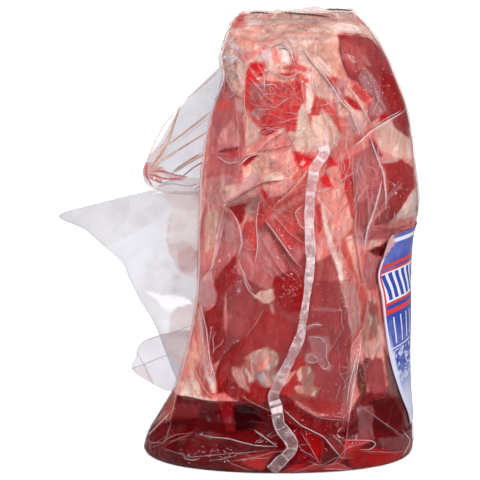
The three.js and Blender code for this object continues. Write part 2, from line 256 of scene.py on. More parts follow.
def profile(knots, at):
    """Smooth curve through knots of (place, value)."""
    place, value = np.array(knots, float).T
    slope = np.gradient(value, place)
    i = np.clip(np.searchsorted(place, at) - 1, 0, len(place) - 2)
    span = place[i + 1] - place[i]
    t = np.clip((at - place[i]) / span, 0.0, 1.0)
    start = (1 + 2 * t) * (1 - t) ** 2 * value[i] + t * (1 - t) ** 2 * span * slope[i]
    end = t * t * (3 - 2 * t) * value[i + 1] + t * t * (t - 1) * span * slope[i + 1]
    return start + end


def along(points, step):
    """Points about a step apart on straight runs through the given ones."""
    points = np.array(points, float)
    run = np.concatenate([[0.0], np.cumsum(np.linalg.norm(np.diff(points, axis=0), axis=1))])
    at = np.linspace(0.0, run[-1], max(4, int(run[-1] / step) + 1))
    return np.stack([np.interp(at, run, points[:, k]) for k in range(points.shape[1])], -1)


def rounded(path, passes):
    """The same line with its corners eased."""
    path = path.copy()
    for _ in range(passes):
        path[1:-1] = (path[:-2] + 2 * path[1:-1] + path[2:]) / 4
    return path


def tapered(place, ends):
    """1 along the middle of a line, easing to 0 over a share of its length at each end."""
    return smooth(place / ends) * smooth((1 - place) / ends)


# Repeatable noise


def corner_noise(i, j, seed):
    """A number from -1 to 1 that a corner of the grid keeps; the large factors only scatter the numbers."""
    wave = np.sin(i * 127.1 + j * 311.7 + seed * 74.7) * 43758.5453
    return 2.0 * (wave - np.floor(wave)) - 1.0


def value_noise(x, y, cell, seed):
    """Rounded noise from -1 to 1 with bumps of about one cell."""
    i, j = np.floor(x / cell), np.floor(y / cell)
    s, t = smooth(x / cell - i), smooth(y / cell - j)
    low = mix(corner_noise(i, j, seed), corner_noise(i + 1, j, seed), s)
    high = mix(corner_noise(i, j + 1, seed), corner_noise(i + 1, j + 1, seed), s)
    return mix(low, high, t)


def fractal(x, y, cell, seed, octaves=4):
    """Noise of several sizes, each half as large and half as strong as the one before it."""
    total = np.zeros_like(x)
    for k in range(octaves):
        total = total + value_noise(x, y, cell / 2**k, seed + k) / 2**k
    return total / 1.8


def facets(x, y, cell, seed, turn):
    """Crumple with flat facets and sharp creases, its grid turned by an angle."""
    c, s = math.cos(turn), math.sin(turn)
    u, v = (x * c + y * s) / cell, (y * c - x * s) / (cell * 1.25)
    i, j = np.floor(u), np.floor(v)
    a, b = u - i, v - j
    low, high = corner_noise(i, j, seed), corner_noise(i + 1, j + 1, seed)
    side = np.where(a > b, corner_noise(i + 1, j, seed), corner_noise(i, j + 1, seed))
    first, second = np.maximum(a, b), np.minimum(a, b)
    return low * (1 - first) + side * (first - second) + high * second


# Shapes drawn on the pack, in x and z


def inside_outline(x, z, points):
    """Distance to a closed outline, positive inside it."""
    points = np.array(points, float)
    nearest = np.full(x.shape, 1e9)
    within = np.zeros(x.shape, bool)
    for (x0, z0), (x1, z1) in zip(points, np.roll(points, -1, axis=0)):
        run_x, run_z = x1 - x0, z1 - z0
        t = np.clip(((x - x0) * run_x + (z - z0) * run_z) / (run_x**2 + run_z**2), 0, 1)
        nearest = np.minimum(nearest, np.hypot(x - x0 - t * run_x, z - z0 - t * run_z))
        if z0 != z1:
            crosses = ((z0 > z) != (z1 > z)) & (x < (x1 - x0) * (z - z0) / (z1 - z0) + x0)
            within ^= crosses
    return np.where(within, nearest, -nearest)


def around(x, z, points, reach):
    """True where a place is near the box round some points."""
    points = np.array(points, float)
    low, high = points.min(axis=0) - reach, points.max(axis=0) + reach
    return (x > low[0]) & (x < high[0]) & (z > low[1]) & (z < high[1])


def cover(x, z, outline, softness):
    """1 inside an outline and 0 outside it, with a soft edge."""
    amount = np.zeros_like(x)
    near = around(x, z, outline, softness)
    amount[near] = smooth(0.5 + inside_outline(x[near], z[near], outline) / softness)
    return amount


def from_line(x, z, points):
    """Distance to an open line, on which side of it (1 or -1), and how far along it from 0 to 1."""
    points = np.array(points, float)
    lengths = np.hypot(*np.diff(points, axis=0).T)
    nearest, side, along_line = np.full(x.shape, 1e9), np.ones(x.shape), np.zeros(x.shape)
    run = 0.0
    for (x0, z0), (x1, z1), length in zip(points[:-1], points[1:], lengths):
        run_x, run_z = x1 - x0, z1 - z0
        t = np.clip(((x - x0) * run_x + (z - z0) * run_z) / length**2, 0, 1)
        away = np.hypot(x - x0 - t * run_x, z - z0 - t * run_z)
        closer = away < nearest
        nearest = np.where(closer, away, nearest)
        side = np.where(closer, np.sign(run_x * (z - z0) - run_z * (x - x0)), side)
        along_line = np.where(closer, (run + t * length) / lengths.sum(), along_line)
        run += length
    return nearest, side, along_line


# Colours of tissue and brine as a screen shows them, then how fatty each is

TONES = {
    "cream": ((236, 200, 182), 1.0),
    "ivory": ((250, 224, 214), 1.0),
    "light salmon": ((238, 182, 168), 0.9),
    "salmon": ((234, 148, 136), 0.7),
    "peach": ((238, 164, 144), 0.8),
    "pink": ((222, 118, 112), 0.6),
    "tan": ((206, 150, 132), 0.7),
    "dusty": ((218, 171, 158), 0.8),
    "dusty rose": ((190, 122, 118), 0.4),
    "pale grey": ((220, 190, 182), 0.8),
    # Lavender paints pale panes of film over the tissue: partly milky film, partly painted reflection
    "lavender": ((216, 192, 204), 0.8),
    "blue grey": ((150, 152, 164), 0.5),
    "lump": ((154, 108, 98), 0.9),
    "pale lump": ((176, 136, 124), 0.9),
    "mauve": ((186, 92, 94), 0.2),
    "rose": ((150, 58, 60), 0.0),
    "lean red": ((154, 42, 44), 0.0),
    "pale rose": ((164, 70, 70), 0.1),
    "dark rose": ((146, 20, 24), 0.0),
    "dull red": ((202, 60, 58), 0.15),
    "red salmon": ((212, 80, 74), 0.2),
    "red": ((206, 44, 44), 0.1),
    "deep red": ((184, 12, 16), 0.0),
    "bright red": ((216, 30, 36), 0.0),
    "dark red": ((112, 10, 16), 0.0),
    "brown": ((96, 50, 46), 0.0),
    "brick": ((150, 60, 52), 0.2),
    "bright brine": ((178, 40, 38), 0.0),
    "maroon": ((72, 2, 5), 0.0),
    "black": ((38, 1, 3), 0.0),
    "brine": ((88, 4, 8), 0.0),
    "clear brine": ((132, 8, 12), 0.0),
    "glow": ((150, 9, 12), 0.0),
}

# Colours of loose film, then how milky each is
FILM_TONES = {
    "clear": ((224, 222, 230), 0.12),
    "loop grey": ((190, 188, 196), 0.24),
    "grey": ((162, 156, 165), 0.5),
    "bright": ((184, 180, 196), 0.5),
    "white": ((244, 244, 250), 0.34),
    "beige": ((182, 144, 138), 0.66),
    "pale beige": ((198, 174, 170), 0.62),
    "pink": ((186, 96, 90), 0.76),
    "mid grey": ((176, 172, 178), 0.58),
    "tan": ((206, 168, 150), 0.4),
    "faint": ((236, 214, 204), 0.25),
    "rust": ((196, 76, 62), 0.6),
}

# Patches of the loose film: name, tone, outline in x and z
LOOP_PATCHES = [
    ("outer facet", "tan", [(-58, 222), (-61, 218), (-64, 209), (-68, 196), (-79, 182), (-82, 188),
     (-70, 210)]),
    ("outer facet light", "clear", [(-64, 213), (-67, 205), (-71, 196), (-79, 188), (-76, 197),
     (-70, 207)]),
    ("low fold", "tan", [(-69, 194), (-71, 187), (-79, 177), (-80, 181), (-75, 188)]),
    ("clear gap", "clear", [(-65, 176), (-46, 188), (-44, 184), (-59, 175)]),
    ("gather pale", "faint", [(-82, 174), (-72, 170), (-56, 174), (-40, 175), (-40, 160), (-66, 160),
     (-80, 162)]),
    ("gather", "rust", [(-84, 184), (-78, 184), (-78, 182), (-73, 181), (-71, 180), (-66, 176), (-56, 175),
     (-56, 174), (-66, 172), (-71, 173), (-72, 170), (-79, 172), (-84, 175)]),
    ("gather tan", "tan", [(-76, 177), (-71, 176), (-66, 174), (-72, 174)]),
]
FLAP_PATCHES = [
    ("tip", "grey", [(-140, 148), (-105, 162), (-78, 172), (-71, 159), (-66, 156), (-79, 144), (-107, 129),
     (-124, 137)]),
    ("beige", "beige", [(-79, 165), (-71, 159), (-66, 156), (-69, 145), (-70, 134), (-67, 123), (-62, 113),
     (-55, 107), (-30, 104), (-30, 180), (-72, 180)]),
    ("pale beige", "pale beige", [(-66, 155), (-50, 152), (-51, 131), (-60, 133), (-69, 131), (-68, 145)]),
    ("pink stain", "pink", [(-63, 126), (-55, 130), (-50, 125), (-48, 120), (-54, 112), (-60, 112),
     (-63, 118)]),
    ("mid grey", "mid grey", [(-67, 113), (-59, 110), (-30, 103), (-30, 94), (-55, 93), (-60, 96),
     (-67, 97)]),
    ("low beige", "beige", [(-30, 94), (-53, 94), (-64, 89), (-67, 85), (-68, 80), (-69, 70), (-30, 70)]),
    ("highlight", "white", [(-84, 101), (-74, 98), (-60, 96), (-54, 92), (-64, 89), (-67, 87), (-72, 88),
     (-76, 94)]),
    ("under the loop", "faint", [(-84, 166), (-72, 163), (-50, 166), (-30, 166), (-30, 184), (-86, 184)]),
]
TAB_PATCHES = [
    ("upper grey", "pale beige", [(-76, 71), (-66, 73), (-30, 80), (-30, 40), (-56, 44), (-62, 52)]),
    ("bright panel", "bright", [(-90, 64), (-76, 71), (-69, 60), (-85, 53)]),
    ("stained facet", "pale beige", [(-102, 42), (-93, 50), (-85, 53), (-79, 41), (-77, 29), (-86, 34)]),
]

# Creases of the loop that run from its gathered corner: width, tone, line in x and z
LOOP_CREASES = [
    (0.9, "tan", [(-68, 195), (-55, 205), (-41, 216)]),
    (0.4, "rust", [(-68, 194.4), (-55, 204.3), (-41, 215)]),
    (0.4, "tan", [(-62, 196), (-54, 203), (-41, 213)]),
    (0.8, "tan", [(-79, 178), (-70, 187), (-60, 193), (-43, 203.5)]),
    (0.4, "rust", [(-72, 184), (-60, 192.4), (-43, 203)]),
    (1.8, "tan", [(-66, 176.5), (-56, 183.5), (-44, 190)]),
    (0.7, "rust", [(-66, 177.5), (-56, 184.6), (-47, 190)]),
    (1.1, "rust", [(-60, 174), (-53, 180), (-45, 185)]),
    (1.3, "tan", [(-58, 222), (-61, 218), (-64, 209), (-68, 196), (-79, 181)]),
    (0.6, "rust", [(-60.5, 218), (-63.5, 210), (-67, 200)]),
    (0.8, "tan", [(-62, 217), (-70, 208), (-75, 199), (-79, 190), (-81, 186)]),
    (0.6, "tan", [(-63, 214), (-65, 206), (-71, 196), (-79, 187)]),
    (0.7, "rust", [(-69, 194), (-74, 187), (-79, 180)]),
    (0.7, "tan", [(-71, 191), (-77, 180)]),
    (0.8, "tan", [(-58, 222), (-46, 232), (-36, 241)]),
    (1.2, "rust", [(-81, 183), (-82, 178), (-82, 174), (-78, 168)]),
    (1.1, "rust", [(-79, 178), (-71, 178), (-66, 176), (-56, 174)]),
    (0.9, "rust", [(-81, 176), (-76, 175), (-71, 173), (-65, 173), (-58, 172)]),
    (0.8, "rust", [(-80, 174), (-72, 170), (-68, 171)]),
    (0.9, "tan", [(-71, 180), (-74, 181), (-78, 177)]),
    (0.7, "tan", [(-78, 168), (-66, 170), (-56, 168), (-46, 171)]),
    (0.8, "rust", [(-52, 166), (-50, 168), (-47, 169)]),
]

# Colour and strength of the two kinds of crease
CREASE_TONES = {"tan": ((226, 190, 164), 0.55), "rust": ((206, 104, 84), 0.6)}

# Fold lines of the flap and its tab: width, line in x and z
FLAP_LINES = [
    (0.5, [(-90, 62), (-85, 53), (-79, 41), (-77, 31)]),
    (0.5, [(-99, 45), (-93, 50), (-85, 53), (-69, 60), (-62, 63)]),
    (0.5, [(-90, 65), (-83, 69), (-76, 71), (-66, 74), (-48, 80)]),
    (0.5, [(-88, 35), (-76, 29), (-66, 29)]),
]

# What lies under the film on the seam side: name, tone, how loose the film is there, outline in x and z
REGIONS = [
    ("above brine", "dark red", 0.3, [(-12, 50), (4, 50), (12, 42), (25, 36), (42, 36), (48, 46), (60, 48),
     (86, 48), (86, 4), (-12, 4)]),
    ("upper fat", "dusty", 0.7, [(-5, 277), (43, 276), (54, 267), (60, 258), (41, 238), (54, 214),
     (32, 196), (9, 196), (-10, 209), (-14, 227), (-33, 239), (-32, 261), (-25, 274)]),
    ("top band", "cream", 0.7, [(-5, 274), (24, 273), (43, 272), (54, 267), (60, 258), (52, 264), (48, 265),
     (35, 266), (24, 267), (8, 271), (-6, 269)]),
    ("band streak", "ivory", 0.5, [(31, 268), (47, 268), (49, 265), (37, 266)]),
    ("grey lens", "tan", 0.7, [(2, 268), (8, 271), (22, 271), (30, 268), (24, 265), (15, 264), (1, 266)]),
    ("under lens", "tan", 0.6, [(-2, 265), (24, 265), (30, 263), (23, 261), (13, 261), (6, 263)]),
    ("fat by lean", "tan", 0.4, [(15, 256), (23, 261), (28, 266), (35, 265), (35, 257), (35, 250),
     (41, 239), (36, 240), (31, 245), (27, 248), (21, 251)]),
    ("orange patch", "tan", 0.5, [(17, 257), (24, 260), (27, 255), (23, 251), (18, 253)]),
    ("window surround", "dusty", 0.8, [(-4, 263), (0, 265), (4, 264), (8, 259), (15, 258), (17, 249),
     (14, 246), (10, 247), (4, 247), (-2, 247), (-6, 253)]),
    ("window side", "salmon", 0.7, [(-5, 255), (-2, 259), (0, 253), (4, 247), (-2, 247), (-5, 250)]),
    ("glass window", "ivory", 0.2, [(-2, 258), (3, 259), (6, 255), (7, 250), (5, 248), (2, 249),
     (-1, 253)]),
    ("window shade", "blue grey", 0.2, [(-1, 258), (3, 258), (3, 257), (0, 257)]),
    ("red drip", "red salmon", 0.6, [(7, 252), (8, 254), (10, 250), (11, 246), (7, 248)]),
    ("red under window", "red salmon", 0.8, [(2, 246), (10, 248), (19, 245), (18, 242), (10, 244),
     (2, 244)]),
    ("red gather", "red salmon", 0.9, [(-23, 276), (-20, 276), (-21, 272), (-20, 268), (-28, 267),
     (-26, 272)]),
    ("gather core", "bright brine", 0.9, [(-25, 274), (-22, 275), (-22, 271), (-26, 270)]),
    ("corner pane", "pale grey", 0.9, [(-21, 272), (-9, 274), (-10, 269), (-18, 268)]),
    ("left salmon", "peach", 0.8, [(-29, 266), (-13, 267), (-7, 264), (-9, 260), (-14, 256), (-21, 255),
     (-25, 258)]),
    ("salmon dusty", "dusty", 0.7, [(-11, 265), (-5, 267), (-5, 261), (-8, 258), (-14, 257)]),
    ("shoulder", "dusty", 1.0, [(-30, 264), (-26, 259), (-21, 255), (-24, 252), (-25, 247), (-27, 240),
     (-22, 234), (-22, 227), (-28, 231), (-31, 237), (-34, 243), (-35, 250), (-33, 255)]),
    # The lavender panes here and by the window are partly milky film and partly painted reflection
    ("shoulder white pane", "lavender", 0.8, [(-34, 250), (-29, 252), (-24, 250), (-28, 247)]),
    ("shoulder upper pane", "lavender", 0.8, [(-31, 258), (-28, 260), (-23, 256), (-25, 254)]),
    ("shoulder low", "tan", 1.0, [(-33, 247), (-27, 246), (-26, 241), (-28, 235), (-30, 239)]),
    ("slit fold", "pink", 0.8, [(-24, 252), (-8, 258), (-8, 255), (-14, 252), (-19, 248), (-24, 247)]),
    ("white pane by window", "lavender", 0.8, [(-11, 255), (-6, 256), (-5, 247), (-10, 251)]),
    ("red pocket", "dull red", 1.0, [(-21, 242), (-17, 248), (-9, 248), (-8, 242), (6, 238), (17, 239),
     (22, 242), (25, 225), (22, 212), (17, 206), (-1, 210), (-5, 205), (-12, 207), (-18, 218), (-21, 234)]),
    ("pocket core", "bright red", 0.8, [(-20, 243), (-17, 247), (-11, 247), (-9, 243), (-11, 239),
     (-17, 236), (-20, 236)]),
    ("pocket left pink", "mauve", 0.9, [(-18, 234), (-9, 238), (-5, 234), (-11, 226), (-18, 226)]),
    ("pocket left bar", "red", 0.6, [(-21, 235), (-19, 234), (-19, 220), (-21, 222)]),
    ("pocket floor", "red", 0.8, [(-9, 221), (6, 225), (7, 213), (-1, 209), (-10, 212)]),
    ("pocket grey", "dusty rose", 0.8, [(-18, 218), (-13, 223), (-9, 221), (-13, 214)]),
    ("lower dark pocket", "deep red", 0.6, [(-9, 210), (-1, 210), (-5, 205), (-12, 206)]),
    ("cream facet", "dusty", 1.0, [(-19, 216), (-11, 209), (-12, 202), (-19, 195), (-20, 205)]),
    ("peach facet", "pink", 1.0, [(-5, 206), (-1, 209), (6, 204), (9, 196), (-5, 196), (-16, 195)]),
    ("body left", "mauve", 0.25, [(-34, 236), (-31, 237), (-28, 231), (-22, 227), (-21, 217), (-20, 200),
     (-23, 190), (-43, 187), (-43, 205), (-39, 221)]),
    ("left upper red", "red salmon", 0.3, [(-38, 222), (-31, 226), (-28, 221), (-33, 217), (-38, 217)]),
    ("left stripe", "dusty rose", 0.5, [(-26, 228), (-22, 226), (-22, 218), (-25, 220)]),
    ("left bubble", "mauve", 0.2, [(-39, 216), (-35, 219), (-31, 217), (-31, 211), (-36, 209), (-39, 211)]),
    ("left low bubble", "mauve", 0.2, [(-42, 205), (-38, 207), (-36, 204), (-39, 201), (-42, 201)]),
    ("left facet", "pink", 0.3, [(-36, 205), (-28, 214), (-23, 204), (-24, 199), (-38, 193)]),
    ("pocket crescent", "bright red", 0.6, [(-2, 242), (8, 243), (11, 243), (8, 241), (2, 240)]),
    ("pocket lip", "salmon", 0.9, [(-19, 246), (-13, 240), (-6, 242), (-2, 241), (2, 239), (8, 239),
     (7, 237), (1, 237), (-6, 238), (-13, 238)]),
    ("pocket right", "red", 0.8, [(10, 242), (13, 238), (14, 228), (10, 225), (10, 212), (4, 206), (3, 214),
     (6, 221), (11, 228), (9, 236)]),
    ("pleat", "red salmon", 0.6, [(10, 242), (14, 241), (16, 234), (18, 225), (23, 203), (18, 211),
     (14, 225), (12, 236)]),
    ("pale by pleat", "dusty", 0.5, [(16, 245), (26, 239), (32, 230), (26, 228), (21, 229), (17, 237)]),
    ("left lobe", "cream", 0.5, [(14, 225), (16, 221), (18, 212), (21, 204), (19, 199), (12, 195), (9, 201),
     (10, 210), (11, 220)]),
    ("middle lobe", "cream", 0.4, [(19, 218), (28, 218), (34, 208), (32, 197), (27, 202), (21, 206),
     (19, 212)]),
    ("upper pale lobe", "ivory", 0.4, [(15, 237), (19, 234), (20, 227), (18, 219), (16, 221)]),
    ("red streak", "red salmon", 0.6, [(22, 228), (31, 227), (35, 218), (38, 206), (35, 208), (30, 217),
     (24, 223)]),
    ("under cord", "pink", 0.5, [(26, 228), (33, 228), (37, 216), (46, 205), (42, 195), (32, 196),
     (38, 206), (35, 218)]),
    ("red triangle", "deep red", 0.6, [(26, 242), (35, 239), (32, 236), (31, 233), (28, 239)]),
    ("mauve flap", "mauve", 0.5, [(31, 236), (36, 239), (40, 237), (39, 233), (38, 229), (33, 231)]),
    ("peach strip", "peach", 0.5, [(39, 235), (42, 237), (46, 230), (50, 225), (54, 213), (51, 217),
     (46, 225), (40, 231)]),
    ("red by strip", "dull red", 0.3, [(42, 234), (45, 236), (54, 228), (52, 225), (48, 226)]),
    ("red under strip", "deep red", 0.4, [(34, 229), (40, 229), (46, 225), (50, 220), (44, 221),
     (38, 224)]),
    ("clear knot", "light salmon", 1.0, [(33, 228), (37, 226), (43, 219), (37, 216), (34, 218)]),
    ("mauve panel", "dusty rose", 0.5, [(37, 216), (44, 218), (49, 213), (52, 208), (46, 205), (42, 209)]),
    ("mauve panel two", "pale rose", 0.4, [(52, 225), (59, 227), (63, 220), (59, 215), (54, 212),
     (52, 218)]),
    ("orange wedge", "deep red", 0.5, [(59, 217), (65, 220), (66, 215), (60, 211)]),
    ("upper right lean", "rose", 0.12, [(35, 265), (49, 264), (55, 262), (62, 255), (67, 246), (71, 235),
     (77, 222), (79, 211), (81, 201), (73, 205), (67, 213), (62, 219), (54, 228), (45, 237), (41, 239),
     (37, 246), (35, 256)]),
    ("lean glow", "pale rose", 0.12, [(36, 262), (52, 256), (54, 247), (43, 242), (37, 252)]),
    ("lean lower side", "dark rose", 0.12, [(60, 247), (69, 239), (77, 221), (81, 208), (76, 206),
     (66, 220), (61, 234)]),
    ("lean top edge", "glow", 0.2, [(35, 265), (42, 265), (39, 263), (36, 261)]),
    ("fat band", "dusty", 0.5, [(56, 212), (66, 213), (73, 206), (81, 200), (82, 194), (83, 187), (71, 191),
     (63, 195), (59, 198)]),
    ("band dark", "dark rose", 0.6, [(54, 205), (59, 198), (63, 190), (56, 193), (53, 202)]),
    ("right mauve", "mauve", 0.5, [(43, 193), (54, 200), (60, 190), (63, 181), (63, 167), (60, 159),
     (55, 155), (51, 135), (45, 150), (44, 174)]),
    ("right mauve pane", "mauve", 0.4, [(44, 190), (47, 190), (53, 181), (53, 173), (49, 170), (47, 165),
     (45, 173)]),
    ("right mauve dark", "pale rose", 0.4, [(47, 165), (53, 167), (54, 156), (51, 149), (46, 151)]),
    ("red stripes", "red", 0.4, [(35, 190), (42, 192), (44, 174), (45, 165), (45, 154), (42, 158),
     (38, 173), (36, 181)]),
    ("orange top", "bright red", 0.5, [(29, 195), (35, 188), (35, 185), (27, 185)]),
    ("orange slab", "salmon", 0.3, [(28, 186), (35, 188), (38, 175), (42, 161), (44, 150), (42, 152),
     (36, 165), (32, 176)]),
    ("beige slab", "salmon", 0.3, [(25, 174), (32, 176), (36, 165), (44, 150), (36, 141), (32, 148),
     (29, 156), (26, 165)]),
    ("red beside seam", "bright red", 0.4, [(24, 180), (28, 184), (33, 174), (26, 175)]),
    ("red strip by seam", "red", 0.4, [(22, 165), (25, 165), (26, 154), (25, 148), (23, 147)]),
    ("pink by seam", "pink", 0.4, [(23, 146), (29, 144), (32, 137), (31, 132), (23, 131)]),
    ("lean beside seam", "pale rose", 0.2, [(21, 130), (32, 134), (36, 121), (39, 113), (21, 113)]),
    ("right salmon", "red salmon", 0.5, [(37, 142), (44, 149), (46, 141), (48, 127), (52, 113), (47, 117),
     (41, 128), (38, 135)]),
    ("salmon pale edge", "peach", 0.5, [(40, 144), (45, 145), (47, 126), (50, 114), (45, 125)]),
    ("cream stripe", "ivory", 0.3, [(26, 167), (29, 152), (32, 142), (36, 132), (40, 112), (36, 119),
     (33, 130), (29, 140), (26, 154)]),
    ("second lean", "lean red", 0.12, [(60, 188), (72, 191), (83, 183), (83, 172), (80, 169), (74, 160),
     (68, 152), (57, 149), (57, 153), (63, 160), (64, 170), (63, 183)]),
    ("second lean haze", "dusty rose", 0.3, [(60, 192), (73, 191), (72, 189), (62, 188)]),
    ("second lean triangle", "pale rose", 0.2, [(59, 152), (63, 161), (66, 156), (67, 149)]),
    ("corner", "pale grey", 0.3, [(80, 169), (84, 172), (87, 161), (87, 154), (83, 150), (74, 153),
     (68, 152), (74, 160)]),
    ("corner red", "pink", 0.3, [(72, 152), (85, 153), (83, 150), (76, 149)]),
    ("corner shade", "dark rose", 0.3, [(85, 161), (87, 156), (86, 152), (85, 156)]),
    ("salmon fold", "mauve", 0.5, [(53, 148), (61, 146), (72, 146), (82, 149), (76, 146), (70, 142),
     (62, 138), (54, 136), (52, 139)]),
    ("salmon fold pale", "dusty", 0.5, [(53, 136), (54, 140), (65, 140), (63, 138), (57, 136)]),
    ("fold gap", "brine", 0.4, [(53, 135), (62, 137), (70, 141), (69, 137), (64, 130), (60, 130)]),
    ("border column", "mauve", 0.5, [(52, 135), (60, 130), (63, 127), (61, 120), (61, 109), (53, 111),
     (51, 126)]),
    ("label curl", "dusty rose", 0.4, [(70, 141), (73, 136), (72, 134), (66, 129), (69, 137)]),
    ("left strip low", "mauve", 0.2, [(-43, 197), (-23, 199), (-24, 188), (-21, 184), (-24, 177),
     (-31, 181), (-45, 176)]),
    ("left slit", "dark rose", 0.4, [(-38, 193), (-33, 196), (-23, 199), (-24, 197), (-30, 194)]),
    ("left under slit", "dull red", 0.3, [(-37, 191), (-23, 197), (-23, 193), (-31, 191)]),
    ("left fatty", "dusty rose", 0.5, [(-45, 176), (-31, 180), (-24, 177), (-28, 169), (-33, 164),
     (-43, 162)]),
    ("left fatty pale", "light salmon", 0.5, [(-33, 174), (-26, 176), (-28, 169), (-32, 166)]),
    ("left pink", "pink", 0.4, [(-45, 160), (-35, 164), (-33, 157), (-34, 148), (-37, 138), (-40, 123),
     (-45, 116), (-48, 113), (-47, 153)]),
    ("left pink pale", "tan", 0.5, [(-44, 156), (-36, 160), (-36, 145), (-41, 133), (-45, 132)]),
    ("left lower dark", "dark rose", 0.4, [(-39, 123), (-33, 126), (-26, 134), (-26, 112), (-40, 109)]),
    ("main slab", "rose", 0.18, [(-26, 133), (-21, 153), (-8, 156), (7, 147), (17, 149), (22, 133),
     (21, 106), (19, 50), (-40, 48), (-27, 112)]),
    ("slab pale", "mauve", 0.18, [(-24, 140), (-15, 147), (-6, 147), (5, 125), (-3, 120), (-6, 113),
     (-26, 122)]),
    ("slab red top", "dull red", 0.5, [(-9, 168), (15, 175), (17, 147), (7, 147), (-4, 159), (-9, 155)]),
    ("ridge strip", "red", 0.6, [(-13, 164), (-10, 167), (-8, 156), (-13, 150), (-15, 157)]),
    ("crease slab", "dull red", 0.5, [(-4, 158), (16, 140), (15, 135), (10, 130), (0, 145), (-8, 154)]),
    ("crease slab low", "mauve", 0.5, [(7, 140), (16, 138), (15, 135), (10, 129)]),
    ("strap", "red salmon", 0.6, [(18, 186), (15, 174), (-2, 162), (-9, 155), (-4, 160), (3, 171)]),
    ("strap shade", "pink", 0.5, [(15, 172), (15, 168), (0, 159), (-6, 154), (-2, 162)]),
    ("under knot", "salmon", 0.6, [(-10, 177), (6, 179), (4, 172), (3, 169), (-6, 173)]),
    ("under knot red", "bright red", 0.6, [(-12, 175), (-6, 172), (-8, 167), (-10, 168)]),
    ("knot", "peach", 1.0, [(-23, 188), (-18, 194), (-6, 196), (6, 198), (12, 187), (6, 180), (-9, 179),
     (-21, 180)]),
    ("knot tip", "deep red", 0.9, [(-23, 188), (-18, 193), (-10, 195), (-15, 191), (-20, 186)]),
    ("knot orange", "salmon", 0.8, [(-10, 196), (6, 198), (12, 187), (6, 183), (4, 187), (-2, 192)]),
    ("knot grey", "dusty rose", 0.8, [(-6, 193), (3, 189), (5, 181), (-2, 185), (-6, 184)]),
    ("knot cream", "cream", 0.8, [(-7, 182), (-2, 185), (3, 180), (-9, 179)]),
    ("knot tan", "tan", 0.8, [(-20, 186), (-11, 190), (-10, 183), (-13, 179), (-18, 181)]),
    ("pale facet", "dusty rose", 0.7, [(-28, 169), (-21, 180), (-12, 184), (-12, 180), (-15, 176),
     (-21, 173)]),
    ("spike", "dusty rose", 0.6, [(-32, 163), (-26, 169), (-18, 174), (-13, 174), (-15, 172), (-23, 167),
     (-28, 164)]),
    ("under spike", "glow", 0.5, [(-32, 162), (-24, 165), (-18, 165), (-23, 151), (-25, 154)]),
    ("beside spike", "dusty rose", 0.5, [(-21, 161), (-17, 169), (-12, 172), (-13, 164), (-15, 157),
     (-20, 156)]),
    ("red cheek", "dull red", 0.5, [(-15, 154), (-13, 164), (-15, 128), (-21, 153)]),
    ("grey flap", "mauve", 0.4, [(-33, 160), (-28, 157), (-24, 149), (-22, 142), (-26, 133), (-31, 123),
     (-39, 116), (-37, 138)]),
    ("flap mottle", "dark rose", 0.3, [(-31, 128), (-26, 134), (-28, 122), (-33, 111), (-39, 109),
     (-37, 120)]),
    ("flap light", "dusty rose", 0.4, [(-32, 154), (-28, 153), (-25, 145), (-30, 139), (-33, 141)]),
    ("flap slit", "dark red", 0.3, [(-40, 126), (-41, 121), (-45, 115)]),
    ("red under seam top", "bright red", 0.6, [(8, 197), (21, 193), (19, 190), (12, 185), (9, 191)]),
    ("red under seam low", "red salmon", 0.6, [(18, 187), (11, 181), (6, 180), (12, 187)]),
    ("red glint", "cream", 0.4, [(12, 189), (14, 191), (15, 190), (13, 189)]),
    ("dark round", "dark rose", 0.15, [(-4, 113), (-3, 121), (6, 125), (14, 121), (17, 110), (14, 101),
     (5, 99), (-2, 106)]),
    ("slab low", "lean red", 0.18, [(-24, 83), (-16, 95), (-6, 101), (2, 98), (11, 91), (6, 76), (-1, 74),
     (-8, 78), (-20, 68), (-28, 65)]),
    ("slab left", "rose", 0.18, [(-33, 112), (-24, 117), (-16, 108), (-10, 102), (-18, 90), (-24, 83),
     (-31, 91)]),
    ("left dark band", "dark rose", 0.3, [(-39, 115), (-32, 117), (-34, 95), (-32, 79), (-36, 68),
     (-40, 64), (-44, 77), (-46, 95), (-39, 101)]),
    ("vein", "dusty", 0.2, [(-16, 109), (-11, 112), (-4, 114), (-3, 108), (-6, 105), (-9, 105)]),
    ("vein tail", "dusty rose", 0.2, [(-6, 105), (-4, 105), (-3, 98), (-4, 99)]),
    ("white piece left", "mauve", 0.4, [(-47, 113), (-41, 115), (-38, 107), (-39, 102), (-45, 98),
     (-48, 100)]),
    ("left lower fat", "pink", 0.8, [(-52, 85), (-47, 80), (-43, 74), (-41, 62), (-37, 55), (-37, 43),
     (-43, 41), (-55, 38), (-64, 38), (-60, 54), (-56, 69)]),
    ("lower fat cream", "light salmon", 0.8, [(-61, 49), (-55, 50), (-52, 44), (-56, 39), (-62, 38)]),
    ("lower fat curve", "light salmon", 0.8, [(-53, 50), (-50, 51), (-47, 45), (-38, 45), (-38, 42),
     (-48, 41)]),
    ("lower fat ivory", "cream", 0.8, [(-46, 59), (-37, 55), (-38, 48), (-44, 51)]),
    ("lower fat salmon", "peach", 0.8, [(-56, 67), (-51, 67), (-50, 57), (-53, 53), (-56, 57)]),
    ("lower fat red", "red", 0.8, [(-50, 64), (-46, 59), (-44, 51), (-39, 47), (-44, 45), (-48, 51)]),
    ("fat foot cream", "ivory", 0.6, [(-62, 39), (-58, 48), (-56, 52), (-54, 47), (-50, 44), (-39, 43),
     (-39, 41), (-48, 40), (-56, 41), (-59, 38)]),
    ("fat inner cream", "cream", 0.6, [(-57, 50), (-52, 57), (-49, 51), (-47, 47), (-50, 46), (-54, 48)]),
    ("fat upper cream", "peach", 0.6, [(-54, 64), (-52, 74), (-50, 80), (-47, 70), (-49, 62), (-51, 64)]),
    ("fat right cream", "ivory", 0.6, [(-44, 53), (-40, 58), (-38, 54), (-39, 48), (-42, 49)]),
